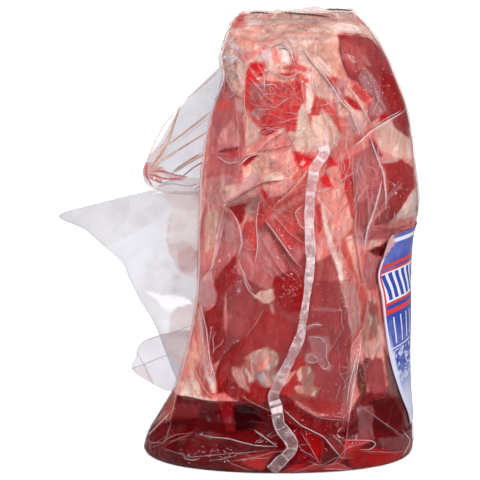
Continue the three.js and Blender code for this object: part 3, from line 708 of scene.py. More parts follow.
    ("fat red gap", "red salmon", 0.6, [(-52, 57), (-48, 63), (-42, 52), (-40, 45), (-46, 44), (-49, 51)]),
    ("fat red line", "red salmon", 0.6, [(-52, 82), (-50, 76), (-49, 66), (-51, 68)]),
    ("red lens", "glow", 0.3, [(-24, 82), (-20, 83), (-28, 65), (-30, 58), (-32, 48), (-38, 47), (-39, 60),
     (-33, 73)]),
    ("lens foot", "clear brine", 0.4, [(-37, 50), (-32, 57), (-27, 55), (-18, 50), (-11, 43), (-6, 35),
     (-18, 42), (-29, 45)]),
    ("lump tail", "dusty rose", 0.4, [(-29, 65), (-22, 64), (-18, 50), (-24, 53), (-29, 60)]),
    ("cream lump", "lump", 0.3, [(-20, 68), (-16, 73), (-7, 78), (-1, 74), (0, 69), (-3, 64), (2, 62),
     (-3, 56), (-8, 53), (-14, 58), (-18, 56), (-23, 65)]),
    ("lump pale", "pale lump", 0.3, [(-12, 76), (-2, 75), (-1, 69), (-8, 67), (-12, 70)]),
    ("lump cap", "pale lump", 0.4, [(-21, 70), (-16, 75), (-10, 77), (-1, 74), (-2, 67), (-10, 64),
     (-15, 68)]),
    ("lump orange streak", "pink", 0.4, [(-14, 65), (-5, 73), (-3, 72), (-12, 63)]),
    ("lump lower strand", "pale lump", 0.4, [(-10, 56), (-1, 60), (1, 64), (-5, 52)]),
    ("lump left lobe", "pale lump", 0.4, [(-29, 64), (-23, 62), (-20, 55), (-24, 57)]),
    ("lump spot", "blue grey", 0.2, [(-13, 61), (-9, 62), (-8, 59), (-11, 57), (-13, 58)]),
    ("lump red", "glow", 0.4, [(-17, 56), (-8, 53), (1, 54), (-6, 45), (-12, 43), (-18, 50)]),
    ("right slab", "rose", 0.15, [(18, 119), (42, 118), (44, 84), (43, 57), (42, 35), (37, 34), (23, 38),
     (11, 44), (2, 50), (7, 70), (14, 90)]),
    ("right slab dark", "rose", 0.15, [(18, 102), (33, 97), (37, 75), (35, 52), (23, 49), (14, 70),
     (15, 85)]),
    ("slab foot glow", "lean red", 0.2, [(14, 46), (23, 46), (41, 43), (42, 36), (25, 39)]),
    ("second lump red", "bright brine", 0.4, [(7, 66), (14, 74), (17, 65), (13, 54), (20, 49), (6, 48),
     (1, 49)]),
    ("second lump", "bright brine", 0.4, [(1, 62), (7, 65), (13, 67), (20, 64), (22, 58), (22, 52),
     (18, 50), (7, 49), (1, 51)]),
    ("second lump strands", "salmon", 0.4, [(1, 58), (6, 61), (10, 63), (7, 57), (3, 53)]),
    ("second lump top", "lump", 0.4, [(11, 62), (13, 66), (18, 66), (22, 61), (21, 55), (15, 54),
     (12, 57)]),
    ("second lump foot", "lump", 0.4, [(10, 53), (18, 55), (25, 53), (22, 48), (12, 49)]),
    ("upper border", "dusty rose", 0.5, [(36, 119), (45, 116), (50, 105), (51, 91), (44, 82), (42, 97)]),
    ("border red", "red salmon", 0.4, [(44, 118), (51, 114), (55, 108), (53, 90), (48, 83), (50, 101)]),
    ("side column", "lump", 0.5, [(55, 108), (60, 103), (64, 77), (62, 68), (55, 69), (51, 81), (53, 90)]),
    ("side column dark", "pale rose", 0.4, [(54, 105), (61, 98), (61, 92), (55, 95)]),
    ("side column low", "rose", 0.4, [(52, 71), (65, 65), (67, 46), (59, 45), (55, 49)]),
    ("side pale", "dusty", 0.4, [(53, 79), (61, 78), (59, 65), (54, 68)]),
    ("border brown", "brown", 0.3, [(65, 75), (74, 51), (85, 24), (84, 10), (77, 29), (68, 45)]),
    ("spice zone", "dark red", 0.3, [(48, 70), (53, 61), (55, 45), (53, 42), (48, 50), (46, 62)]),
]

# Brine in the foot, in the same way
BRINE_REGIONS = [
    ("left shoulder", "brick", 0.5, [(-60, 53), (-63, 47), (-63, 37), (-65, 28), (-77, 21), (-71, 32)]),
    ("dark middle", "maroon", 0.5, [(-65, 28), (-52, 36), (-36, 41), (-6, 43), (2, 36), (4, 27), (-17, 27),
     (-32, 25), (-52, 22), (-70, 24)]),
    ("hollow", "black", 0.3, [(-28, 40), (-18, 43), (-10, 33), (-15, 28), (-27, 27)]),
    ("brown corner", "dark red", 0.4, [(-64, 36), (-52, 38), (-46, 40), (-52, 31), (-65, 27)]),
    ("salmon strip", "dark red", 0.4, [(-38, 49), (-31, 49), (-28, 42), (-27, 27), (-32, 26), (-36, 38)]),
    ("left foot", "brine", 0.6, [(-83, 11), (-77, 18), (-59, 27), (-50, 26), (-52, 22), (-68, 14), (-77, 9),
     (-79, 4), (-83, 6)]),
    ("crest pane", "brine", 0.5, [(-59, 8), (-54, 17), (-47, 23), (-36, 25), (-24, 22), (-3, 19), (-10, 15),
     (-24, 12), (-43, 10), (-56, 4)]),
    ("red front streak", "clear brine", 0.5, [(-28, 12), (-3, 17), (-7, 9), (-24, 9)]),
    ("front tip", "glow", 0.5, [(-29, 9), (-24, 5), (-15, 2), (-24, 0), (-29, 5)]),
    ("tip triangle", "maroon", 0.4, [(-15, 29), (3, 28), (6, 22), (-3, 24)]),
    ("clear foot", "dark red", 0.5, [(7, 28), (17, 28), (26, 22), (26, 8), (14, 7), (10, 13), (13, 16)]),
    ("clear foot low", "deep red", 0.5, [(-1, 1), (10, 8), (26, 5), (37, 5), (46, 2), (22, 1)]),
    ("dark wedge", "dark red", 0.4, [(26, 25), (40, 24), (39, 11), (30, 19)]),
    ("cone", "deep red", 0.4, [(40, 22), (59, 20), (49, 16), (35, 6), (39, 15)]),
    ("right foot", "brine", 0.4, [(42, 43), (55, 41), (68, 31), (79, 20), (84, 11), (82, 6), (60, 15),
     (59, 29)]),
    ("right front", "glow", 0.4, [(39, 14), (49, 16), (61, 13), (81, 6), (68, 0), (46, 2)]),
    ("front pane", "bright brine", 0.5, [(-25, 10), (-2, 17), (-10, 3), (-16, 4)]),
    ("dark triangle", "dark red", 0.5, [(-30, 9), (-25, 10), (-16, 3), (-24, 3)]),
    ("centre facet", "glow", 0.5, [(13, 27), (27, 25), (25, 8), (20, 17)]),
    ("centre low facet", "bright red", 0.5, [(8, 2), (22, 9), (25, 6), (13, 2)]),
    ("centre foot facet", "dull red", 0.5, [(26, 6), (35, 8), (45, 2), (31, 3)]),
]

# The label side, in the same way
LABEL_SIDE_REGIONS = [
    ("top fat", "dusty", 0.7, [(-60, 282), (80, 282), (66, 258), (50, 250), (34, 255), (14, 245), (-6, 252),
     (-22, 243), (-36, 246), (-60, 262)]),
    ("top fat band", "light salmon", 0.6, [(-50, 270), (0, 268), (40, 273), (64, 260), (34, 264), (4, 259),
     (-40, 262)]),
    ("top fat stain", "pink", 0.6, [(-20, 256), (-8, 258), (4, 250), (-8, 250)]),
    ("right lean", "dark rose", 0.2, [(60, 256), (100, 240), (100, 198), (76, 202), (58, 214), (50, 232),
     (52, 250)]),
    ("fat band", "peach", 0.5, [(100, 190), (76, 189), (54, 182), (32, 186), (10, 177), (-14, 184),
     (-34, 176), (-52, 182), (-50, 194), (-32, 188), (-12, 197), (8, 187), (30, 199), (52, 192), (72, 206),
     (100, 200)]),
    ("fat band pale", "cream", 0.5, [(80, 195), (54, 187), (32, 191), (12, 181), (8, 184), (30, 195),
     (52, 190)]),
    ("fat island", "dusty", 0.5, [(-22, 222), (-10, 235), (4, 231), (8, 222), (-2, 215), (-16, 213)]),
    ("fat island tail", "salmon", 0.5, [(4, 231), (22, 238), (36, 233), (24, 230), (8, 222)]),
    ("second lean", "dark rose", 0.2, [(100, 190), (76, 188), (54, 181), (32, 185), (26, 160), (60, 148),
     (100, 150)]),
    ("corner", "pale grey", 0.4, [(72, 166), (100, 172), (100, 150), (76, 152)]),
    ("left upper side", "mauve", 0.4, [(-70, 238), (-38, 236), (-30, 214), (-38, 196), (-70, 186)]),
    ("left fatty", "pink", 0.5, [(-70, 180), (-38, 182), (-30, 170), (-38, 160), (-70, 162)]),
    ("left pink", "pink", 0.4, [(-70, 160), (-40, 162), (-34, 140), (-42, 118), (-70, 112)]),
    ("left pink pale", "peach", 0.4, [(-60, 154), (-44, 156), (-40, 142), (-50, 128), (-60, 132)]),
    ("left dark band", "dark rose", 0.3, [(-70, 112), (-40, 116), (-30, 96), (-40, 82), (-70, 86)]),
    ("left low fat", "pink", 0.6, [(-80, 86), (-46, 84), (-30, 66), (-24, 48), (-30, 36), (-90, 36)]),
    ("left low fat pale", "light salmon", 0.6, [(-70, 66), (-48, 70), (-38, 52), (-52, 42), (-70, 46)]),
]

# Patches of milky film and of painted reflections of the lights: name, how milky, outline in x and z.
# One without an outline covers the region of its name.
VEILS_AND_REFLECTIONS = [
    ("lean diamond", 0.24, [(46, 240), (50, 246), (54, 241), (56, 228), (50, 233)]),
    ("lean lower veil", 0.2, [(54, 242), (59, 234), (61, 224), (57, 226), (54, 235)]),
    ("lean fold veil", 0.18, [(48, 253), (52, 251), (55, 245), (51, 247)]),
    ("mauve veil", 0.2, [(54, 228), (59, 228), (64, 220), (58, 216), (53, 218)]),
    ("knot veil", 0.25, [(39, 216), (44, 218), (49, 213), (52, 208), (46, 206), (42, 211)]),
    ("top pane", 0.3, [(-3, 272), (24, 273), (43, 272), (39, 271), (22, 271), (-1, 270)]),
    ("top right pane", 0.35, [(42, 276), (45, 275), (47, 273), (44, 273)]),
    ("weld square", 0.6, [(8, 276), (13, 276), (13, 274), (8, 274)]),
    ("second weld square", 0.5, [(29, 274), (32, 275), (32, 273), (29, 273)]),
    ("streak pane", 0.4, [(33, 268), (47, 268), (49, 265), (38, 266)]),
    ("cord pane", 0.45, [(21, 250), (23, 251), (30, 243), (28, 242)]),
    ("flap pane", 0.3, [(32, 236), (36, 238), (40, 237), (38, 234), (33, 233)]),
    ("window pane", 0.35, [(3, 264), (6, 262), (10, 257), (8, 256), (6, 260)]),
    ("lobe pane", 0.3, [(10, 206), (14, 208), (15, 199), (11, 196)]),
    ("shoulder white pane", 0.4),
    ("shoulder upper pane", 0.35),
    ("shoulder low", 0.22),
    ("corner pane", 0.35),
    ("white pane by window", 0.35),
    ("left facet", 0.16),
    ("left stripe", 0.2),
    ("second lean band", 0.22, [(64, 169), (74, 177), (73, 174), (64, 166)]),
    ("second lean haze", 0.2, [(60, 192), (73, 191), (71, 189), (62, 188)]),
    ("right mauve pane", 0.05),
    ("column pane", 0.3, [(45, 147), (49, 148), (52, 142), (52, 136), (49, 138)]),
    ("right corner pane", 0.2, [(77, 164), (83, 172), (85, 164), (81, 159)]),
    ("film edge left", 0.45, [(-47, 175), (-44, 166), (-44, 164), (-46, 154), (-48, 142), (-48, 156)]),
    ("low left edge", 0.4, [(-46, 115), (-40, 121), (-40, 109), (-48, 107)]),
    ("grey flap edge", 0.4, [(-33, 155), (-31, 157), (-37, 131), (-41, 122), (-40, 127), (-36, 140)]),
    ("grey flap", 0.12, [(-32, 156), (-24, 149), (-22, 142), (-26, 133), (-33, 128)]),
    ("pale facet", 0.3),
    ("under knot veil", 0.2, [(-9, 176), (2, 170), (-6, 173)]),
    ("slab pane", 0.18, [(-24, 136), (-19, 135), (-15, 128), (-21, 131)]),
    ("slab sheen", 0.06, [(-13, 149), (-9, 151), (-2, 134), (-6, 127), (-13, 128)]),
    ("arc pane", 0.12, [(9, 162), (16, 165), (17, 149), (12, 153)]),
    ("pink by seam", 0.2, [(24, 145), (30, 143), (31, 136), (24, 140)]),
    ("white piece left", 0.35),
    ("left strands", 0.3, [(-50, 92), (-46, 99), (-46, 88), (-42, 75), (-43, 72), (-47, 80)]),
    ("fat edge pane", 0.3, [(-52, 90), (-50, 86), (-56, 69), (-60, 54), (-64, 33), (-66, 28), (-62, 49),
     (-56, 69)]),
    ("left long pane", 0.22, [(-66, 33), (-67, 26), (-77, 18), (-83, 11), (-74, 25)]),
    ("left low pane", 0.08, [(-80, 5), (-73, 11), (-68, 10), (-60, 4), (-58, 0), (-68, 2), (-78, 2)]),
    ("brown corner", 0.1, [(-64, 36), (-52, 38), (-46, 40), (-52, 32), (-64, 29)]),
    ("crest pane", 0.03, [(-59, 8), (-54, 17), (-47, 23), (-36, 25), (-24, 22), (-3, 19), (-24, 15),
     (-43, 11)]),
    ("crest light", 0.2, [(-48, 23), (-41, 26), (-36, 24), (-37, 22), (-45, 22)]),
    ("front pane", 0.06, [(-56, 4), (-29, 8), (-29, 4), (-49, 1)]),
    ("tip triangle", 0.04),
    ("lens veil", 0.04, [(-36, 61), (-29, 69), (-31, 58), (-34, 52)]),
    ("slab band", 0.18, [(18, 102), (27, 103), (36, 101), (35, 100), (19, 101)]),
    ("slab arc", 0.25, [(14, 89), (18, 92), (23, 94), (26, 92), (21, 91), (17, 89)]),
    ("lavender spot", 0.2, [(17, 85), (23, 86), (30, 85), (31, 77), (27, 70), (32, 67), (31, 63), (26, 65),
     (23, 72), (17, 69), (15, 74), (20, 76)]),
    ("lavender rim", 0.3, [(15, 70), (17, 74), (23, 73), (21, 69), (17, 68)]),
    ("slab streaks", 0.14, [(42, 70), (50, 85), (50, 80), (45, 57), (42, 31), (37, 37), (40, 57)]),
    ("side bubble", 0.25, [(59, 71), (64, 77), (65, 73), (62, 68)]),
    ("brown film", 0.12, [(66, 68), (74, 51), (85, 24), (84, 13), (77, 30), (68, 45)]),
    ("upright pane", 0.5, [(47, 40), (57, 39), (58, 35), (57, 27), (58, 20), (40, 22), (48, 25), (48, 34)]),
    ("right low pane", 0.3, [(60, 20), (80, 17), (84, 11), (82, 7), (64, 12)]),
    ("right tip", 0.5, [(80, 17), (84, 12), (84, 8), (81, 5), (78, 8)]),
    ("cone", 0.1),
    ("dark wedge", 0.14),
    ("foot pane", 0.08, [(-1, 2), (2, 8), (14, 6), (27, 6), (46, 1), (23, 0)]),
]

# Folds of the film: name, kind, width of its edge, height of its ridge, line in x and z
FOLDS = [
    ("shoulder edge", "clear", 0.9, 1.2, [(-26, 266), (-31, 260), (-35, 249), (-33, 241), (-28, 231),
     (-20, 226)]),
    ("shoulder inner", "clear", 0.7, 1.0, [(-22, 266), (-25, 257), (-20, 248), (-22, 238)]),
    ("shoulder crease", "white", 0.8, 0.8, [(-34, 249), (-27, 252), (-21, 246)]),
    ("shoulder low crease", "white", 0.7, 0.6, [(-33, 244), (-26, 243), (-22, 236)]),
    ("fin foot", "clear", 0.8, 0.8, [(-20, 270), (-5, 272), (8, 273), (25, 272), (43, 273), (54, 267)]),
    ("sheet edge", "clear", 0.6, 0.6, [(5, 266), (19, 270), (28, 269), (36, 265)]),
    ("lean upper edge", "dark", 0.5, 0.3, [(35, 265), (52, 264), (60, 259), (66, 250)]),
    ("lean left edge", "dark", 0.5, 0.2, [(36, 262), (36, 252), (39, 244), (44, 237)]),
    ("window arc", "white", 0.7, 1.0, [(-7, 256), (-3, 259), (2, 260), (6, 256), (9, 247)]),
    ("window shade", "grey", 0.9, 0.2, [(-1, 256), (3, 257), (5, 255)]),
    ("cord", "white", 0.8, 1.6, [(14, 258), (17, 252), (25, 243), (32, 233), (37, 225), (42, 220),
     (48, 211)]),
    ("cord shade", "grey", 0.6, 0.0, [(13, 257), (16, 251), (24, 242), (31, 232)]),
    ("cord tail", "white", 0.7, 0.8, [(42, 220), (45, 212), (48, 207)]),
    ("centre line", "peach", 0.6, 1.0, [(12, 242), (15, 221), (22, 201)]),
    ("second centre line", "red", 0.5, 0.6, [(19, 243), (22, 229), (27, 212)]),
    ("strip edge", "white", 0.7, 0.9, [(37, 238), (43, 232), (49, 222), (55, 211)]),
    ("knot cross", "white", 1.3, 1.4, [(76, 219), (65, 214), (53, 207), (43, 198)]),
    ("knot cross side", "white", 0.6, 0.4, [(73, 219), (63, 215), (55, 210)]),
    ("lean veil edge", "clear", 0.6, 0.7, [(50, 246), (55, 237), (58, 227), (64, 219)]),
    ("mauve fold", "white", 1.3, 1.4, [(53, 206), (56, 198), (62, 183), (63.5, 170), (64, 160)]),
    ("thick fold", "white", 1.6, 1.3, [(61, 178), (57, 160), (53, 149), (51, 134)]),
    ("thin fold", "clear", 0.8, 0.8, [(53, 168), (54, 156), (52, 146)]),
    ("long right fold", "clear", 0.7, 1.0, [(43, 197), (44, 180), (46, 163), (45, 150), (51, 112)]),
    ("long fold shade", "dark", 0.5, 0.0, [(44.2, 190), (45, 175), (47.2, 160), (46.5, 150)]),
    ("right end fold", "clear", 0.8, 1.0, [(51, 112), (54, 105), (51, 89), (44, 79), (43, 68)]),
    ("slab streak", "white", 0.9, 0.7, [(50, 82), (47, 63), (44, 45), (42, 32)]),
    ("slab streak inner", "white", 0.7, 0.5, [(48, 76), (43, 57), (41, 42)]),
    ("slab streak short", "white", 0.6, 0.4, [(46, 70), (45.5, 56), (43.5, 48)]),
    ("second lean edge", "red", 0.8, 0.8, [(55, 149), (70, 146), (85, 148)]),
    ("lean right veil", "clear", 0.5, 0.4, [(63, 167), (72, 178)]),
    ("left body edge", "white", 1.0, 0.8, [(-44, 205), (-47.5, 174), (-48, 150), (-49, 124), (-49, 107),
     (-51, 93), (-56, 68), (-63, 42), (-67, 26)]),
    ("left inner edge", "white", 0.9, 1.0, [(-49, 101), (-44, 86), (-42, 68), (-38, 54)]),
    ("left strand", "white", 0.7, 0.7, [(-49, 96), (-47, 82), (-45, 64), (-40, 50)]),
    ("left fat fold", "peach", 0.9, 0.8, [(-55, 66), (-50, 56), (-44, 48), (-38, 44)]),
    ("left fat low fold", "peach", 0.8, 0.8, [(-58, 52), (-52, 46), (-46, 42)]),
    ("knot top", "red", 0.7, 1.2, [(-16, 196), (-5, 197), (8, 200)]),
    ("knot tip", "white", 0.8, 1.4, [(-24, 187), (-18, 193), (-10, 195)]),
    ("knot tip shade", "grey", 0.9, 0.2, [(-24, 189), (-20, 192.5), (-16, 194)]),
    ("knot lower", "grey", 0.9, 1.4, [(-32, 164), (-21, 172.5), (-10, 178.5), (5, 181)]),
    ("knot side", "clear", 0.7, 1.0, [(5, 192), (6, 183), (5, 174)]),
    ("knot inner", "clear", 0.6, 0.8, [(-12, 185), (-10, 178), (-7, 170)]),
    ("spike ridge", "grey", 0.8, 1.2, [(-32, 163), (-24, 166), (-16, 169), (-8, 169)]),
    ("spike tip", "white", 1.2, 0.6, [(-34, 163), (-32, 164)]),
    ("flap left", "white", 0.9, 1.2, [(-33, 162), (-38, 138), (-40, 124), (-46, 115), (-49, 108)]),
    ("flap right", "white", 0.8, 1.0, [(-32, 163), (-28, 159), (-24, 151), (-22, 142), (-25, 132)]),
    ("ridge", "white", 0.6, 1.5, [(-12, 168), (-14, 154), (-13, 139), (-15, 128)]),
    ("ridge right", "red", 0.6, 1.0, [(-9, 168), (-8, 158), (-10, 152)]),
    ("long crease", "white", 0.9, 1.6, [(-9, 156), (1, 142), (11, 128)]),
    ("long crease shade", "dark", 0.4, 0.0, [(-10, 154), (0, 140), (9, 127.5)]),
    ("low crease", "clear", 0.6, 1.0, [(-13, 150), (-7, 138), (2, 124), (9, 120)]),
    ("diagonal", "peach", 0.8, 1.5, [(18, 187), (3, 170), (-2, 166), (-5, 160)]),
    ("under diagonal", "clear", 0.7, 1.2, [(-5, 160), (6, 147), (16, 140)]),
    ("arc", "white", 0.6, 0.9, [(15, 165), (9, 160), (12, 152), (18, 147)]),
    ("slab line", "white", 0.6, 0.5, [(-24, 129), (-20, 119), (-16, 112)]),
    ("vein line", "white", 0.6, 0.5, [(-22, 121), (-18, 112), (-12, 108)]),
    ("bubble rim", "white", 0.5, 0.5, [(17, 85), (25, 85), (29, 80), (28, 72), (31, 67), (27, 64),
     (23, 70)]),
    ("bubble ring", "white", 0.5, 0.5, [(16, 71), (19, 75), (24, 71), (21, 68), (16, 70)]),
    ("bubble lid", "white", 0.5, 0.4, [(16, 91), (21, 93), (26, 92)]),
    ("lens edge", "dark", 0.7, 0.6, [(-22, 83), (-28, 79), (-36, 66), (-38, 55)]),
    ("lens line", "clear", 0.4, 0.5, [(-20, 85), (-14, 93), (-9, 102)]),
    ("lens right edge", "red", 0.7, 0.6, [(-21, 83), (-27, 70), (-30, 58), (-31, 48)]),
    ("lip line", "peach", 0.9, 1.2, [(-6, 244), (4, 239.5), (12, 243)]),
    ("pocket wrinkle", "clear", 0.4, 0.8, [(-18, 225), (-14, 222.5), (-11, 223.5), (-6, 221), (0, 220)]),
    ("pocket crossing", "clear", 0.4, 0.8, [(-7, 236), (-4, 233), (-2, 229), (2, 228.5), (6, 227)]),
    ("pocket slope", "clear", 0.4, 0.7, [(-14, 232), (-12, 229), (-11, 227), (-8, 224), (-5, 217)]),
    ("pocket foot", "clear", 0.4, 0.8, [(-12, 216), (-8, 218.5), (-4, 218), (2, 215), (8, 214)]),
    ("pocket side", "peach", 0.8, 1.0, [(-21, 236), (-21, 222), (-19, 214), (-21, 199)]),
    ("core line", "white", 0.5, 0.7, [(-13, 247), (-9, 241), (-9, 232)]),
    ("facet edge", "white", 0.5, 1.0, [(-15, 195), (-6, 203), (3, 209)]),
    ("facet low edge", "red", 0.6, 0.8, [(3, 209), (8, 200), (13, 188)]),
    ("left slit", "red", 0.7, 0.8, [(-38, 193), (-30, 196), (-24, 197)]),
    ("left slit edge", "white", 0.7, 0.8, [(-38, 191), (-31, 187.5), (-24, 189.5)]),
    ("left strip fold", "clear", 0.6, 0.8, [(-27, 231), (-25, 214), (-24, 190), (-25, 180)]),
    ("film tip", "white", 0.7, 1.2, [(-15, 28), (-8, 24), (-1, 19)]),
    ("brine crest", "white", 0.7, 1.4, [(-48, 23), (-30, 23), (-14, 20), (-1, 19)]),
    ("brine low crest", "clear", 0.7, 1.2, [(-60, 8), (-30, 14), (-6, 17)]),
    ("brine left crest", "clear", 0.6, 1.0, [(-72, 14), (-62, 21), (-52, 24)]),
    ("brine foot crest", "clear", 0.6, 1.0, [(-29, 9), (-18, 11), (-4, 12)]),
    ("hollow edge", "dark", 0.7, 1.0, [(-26, 46), (-14, 40), (-7, 34), (3, 31)]),
    ("hollow upper edge", "clear", 0.6, 0.8, [(-24, 48), (-12, 42), (0, 36)]),
    ("right brine crest", "white", 0.7, 1.4, [(1, 41), (13, 31), (27, 25), (39, 10)]),
    ("slab foot edge", "clear", 0.7, 1.0, [(9, 43), (24, 36), (42, 33)]),
    ("centre fold edge", "clear", 0.6, 1.2, [(42, 31), (41, 24), (39, 10)]),
    ("right foot crest", "clear", 0.7, 1.0, [(48, 42), (62, 30), (76, 19)]),
    ("right low crest", "clear", 0.7, 1.2, [(30, 4), (40, 17), (57, 20)]),
    ("centre facet edge", "red", 0.6, 1.2, [(27, 25), (26, 17), (25, 8)]),
    ("centre facet side", "clear", 0.6, 1.0, [(13, 27), (20, 17), (25, 8)]),
    ("centre low edge", "clear", 0.6, 0.8, [(8, 2), (22, 9), (25, 6)]),
    ("centre foot edge", "white", 0.5, 0.4, [(26, 4), (45, 2)]),
    ("centre foot upper edge", "clear", 0.6, 0.8, [(26, 6), (35, 8), (45, 2)]),
    ("right pane foot", "clear", 0.6, 0.8, [(49, 14), (64, 11), (80, 7)]),
    ("cone end", "white", 0.6, 0.8, [(39, 22), (56, 20), (60, 17), (56, 14), (49, 15)]),
    ("front pane edge", "clear", 0.6, 1.0, [(-25, 10), (-14, 12), (-3, 16)]),
    ("front triangle edge", "clear", 0.6, 0.8, [(-30, 8), (-22, 5), (-16, 3)]),
    ("left streak", "bright", 0.6, 0.6, [(-73, 15), (-62, 21), (-52, 24)]),
    ("left low streak", "bright", 0.7, 0.8, [(-72, 11), (-62, 18), (-51, 24)]),
    ("left third streak", "clear", 0.3, 0.6, [(-80, 8), (-70, 14), (-54, 23)]),
    ("left foot spark", "white", 0.5, 0.6, [(-58, 8), (-53, 7), (-48, 9)]),
    ("front spark", "clear", 0.5, 0.6, [(-42, 8), (-35, 10), (-28, 9)]),
    ("foot right edge", "white", 0.8, 0.8, [(77, 21), (83, 12), (77, 4)]),
    ("left foot crest", "white", 0.8, 1.0, [(-66, 32), (-75, 22), (-84, 11)]),
    ("left foot edge", "clear", 0.7, 0.8, [(-66, 26), (-70, 14), (-82, 11)]),
]

# Folds on the label side, in the same way
LABEL_SIDE_FOLDS = [
    ("far shoulder", "clear", 0.8, 1.4, [(-40, 262), (-20, 250), (10, 246), (40, 253), (66, 240)]),
    ("far top crease", "clear", 0.8, 1.0, [(-10, 272), (-4, 244), (-16, 214)]),
    ("far right crease", "clear", 0.8, 1.2, [(40, 262), (46, 232), (64, 204), (66, 176)]),
    ("far diagonal", "white", 0.8, 1.5, [(60, 236), (30, 214), (6, 202), (-26, 198)]),
    ("far second diagonal", "clear", 0.8, 1.2, [(84, 200), (50, 184), (20, 170), (0, 152)]),
    ("far long fold", "clear", 0.8, 1.4, [(-46, 240), (-32, 210), (-36, 180), (-48, 150)]),
    ("far left crease", "clear", 0.8, 1.2, [(-56, 130), (-44, 100), (-50, 70), (-58, 44)]),
    ("far inner crease", "white", 0.8, 1.2, [(-34, 168), (-42, 130), (-36, 96), (-44, 60), (-60, 30)]),
    ("far foot crest", "clear", 0.8, 1.2, [(-72, 22), (-40, 15), (0, 18), (40, 13), (74, 20)]),
    ("far foot fold", "clear", 0.8, 1.0, [(-30, 30), (-10, 14), (10, 4)]),
    ("far foot crease", "white", 0.8, 1.0, [(30, 26), (44, 14), (66, 5)]),
]

# Fine crinkles strewn over loose film: kind, how many, and the middle, spread, heading and size of each field
CRINKLES = [
    ("white", 14, (-6, 226), (10, 14), 0.2, 9),
    ("clear", 40, (10, 236), (18, 20), -0.6, 12),
    ("white", 22, (-28, 250), (5, 12), 1.0, 7),
    ("clear", 26, (0, 266), (24, 5), 0.1, 12),
    ("red", 22, (2, 222), (14, 14), 0.9, 8),
    ("clear", 34, (-8, 186), (12, 10), 0.5, 9),
    ("white", 20, (46, 190), (10, 24), 1.4, 12),
    ("clear", 30, (50, 150), (10, 34), 1.5, 12),
    ("red", 16, (40, 160), (7, 26), 1.6, 12),
    ("white", 12, (-46, 70), (6, 20), 1.5, 10),
    ("clear", 26, (46, 60), (8, 24), 1.4, 12),
    ("clear", 16, (-10, 16), (40, 8), 0.1, 16),
    ("clear", 26, (0, 150), (14, 16), -1.0, 12),
]

# Heights that the crinkles keep between: at the foot, between brine and meat, and at the top
CRINKLE_FOOT = 6
CRINKLE_MIDDLE = 44
CRINKLE_TOP = 270

# Thin hem of film that stands up along the top end: its upper edge in x and z, and the height of its root
HEM_EDGE = [
    (-25, 276.6), (-21, 278.0), (-9, 278.3), (-5, 277.5), (-1, 278.6), (3, 277.7), (13, 279.0), (21, 280.4),
    (25, 279.8), (27.5, 278.3), (29, 279.5), (45, 279.0), (46.5, 277.6), (49, 273.0),
]
HEM_ROOT = 272.0

# Dark slits between the layers of the hem: dark strands that paint the shade in the gaps
SLITS = [
    ("left slit", 1.0, [(-18, 276.6), (-12, 276.9), (-6, 276.3)]),
    ("middle slit", 1.1, [(1, 276.9), (12, 276.0), (24, 275.0), (31, 273.9)]),
    ("right slit", 1.1, [(28, 278.4), (36, 278.5), (44, 277.9)]),
    ("right thin slit", 0.5, [(30, 276.9), (38, 276.9), (46, 276.0)]),
]

# Strength of the painted sheen, put on as milkiness, on the pane beside a fold of each kind
FOLD_SHEEN_STRENGTH = {
    "white": 0.6, "clear": 0.45, "peach": 0.4, "red": 0.2, "bright": 0.3, "dark": 0.0, "grey": 0.3,
}

# Powers that turn a tissue's linear red, green and blue into the paler ones of a pane over it
# This paler tissue is also the colour of the film's painted sheen and painted highlights.
PANE_LIGHTNESS = (0.55, 0.68, 0.68)

# Colour and strength of each kind of fine edge
EDGE_KINDS = {
    # White, clear and peach: milky film along the folds that paints their highlights
    "white": ((244, 222, 226), 0.62),
    "clear": ((230, 176, 178), 0.36),
    "peach": ((240, 186, 168), 0.55),
    "red": ((180, 24, 28), 0.45),
    # Bright: painted highlights on the brine's crests
    "bright": ((214, 60, 56), 0.6),
    # Dark, grey and slit: painted shadow lines beside folds and painted shade in the hem's slits
    "dark": ((74, 10, 16), 0.6),
    "grey": ((120, 96, 90), 0.7),
    "slit": ((84, 70, 66), 0.8),
}


def crinkle_lines():
    """Short bent lines, the same on every run: name, kind, width, ridge and line."""
    dice = np.random.default_rng(7)
    lines = []
    for kind, count, middle, spread, heading, size in CRINKLES:
        lowest = CRINKLE_MIDDLE if middle[1] > CRINKLE_MIDDLE else CRINKLE_FOOT
        for _ in range(count):
            x, z = middle + dice.normal(size=2) * spread
            turn = heading + dice.normal() * 0.5
            half = size * dice.uniform(0.3, 0.9)
            run = np.array([math.cos(turn), math.sin(turn)])
            bend = np.array([-run[1], run[0]]) * dice.normal() * 0.18 * half
            place = np.array([x, z])
            line = [tuple(place - run * half), tuple(place - run * half * 0.35 + bend),
                    tuple(place + run * half * 0.3 - 0.7 * bend), tuple(place + run * half)]
            if all(lowest < p[1] < CRINKLE_TOP for p in line):
                lines.append(("crinkle", kind, dice.uniform(0.25, 0.5), dice.uniform(0.3, 0.9), line))
    return lines


ALL_FOLDS = FOLDS + crinkle_lines()


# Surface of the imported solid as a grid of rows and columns


def pack_tree():
    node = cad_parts["brisket_pack"]
    corners = [v.co.copy() for v in node.data.vertices]
    return BVHTree.FromPolygons(corners, [tuple(p.vertices) for p in node.data.polygons])


def blurred(grid, row_reach, column_reach):
    """Gaussian blur of a grid that closes on itself along its columns."""
    def kernel(reach):
        n = int(max(1, round(3 * reach)))
        k = np.exp(-0.5 * (np.arange(-n, n + 1) / max(reach, 0.3)) ** 2)
        return n, k / k.sum()
    n, k = kernel(column_reach)
    wide = np.concatenate([grid[:, -n:], grid, grid[:, :n]], axis=1)
    grid = sum(w * wide[:, i:i + grid.shape[1]] for i, w in enumerate(k))
    n, k = kernel(row_reach)
    tall = np.concatenate([np.repeat(grid[:1], n, 0), grid, np.repeat(grid[-1:], n, 0)], axis=0)
    return sum(w * tall[i:i + grid.shape[0]] for i, w in enumerate(k))


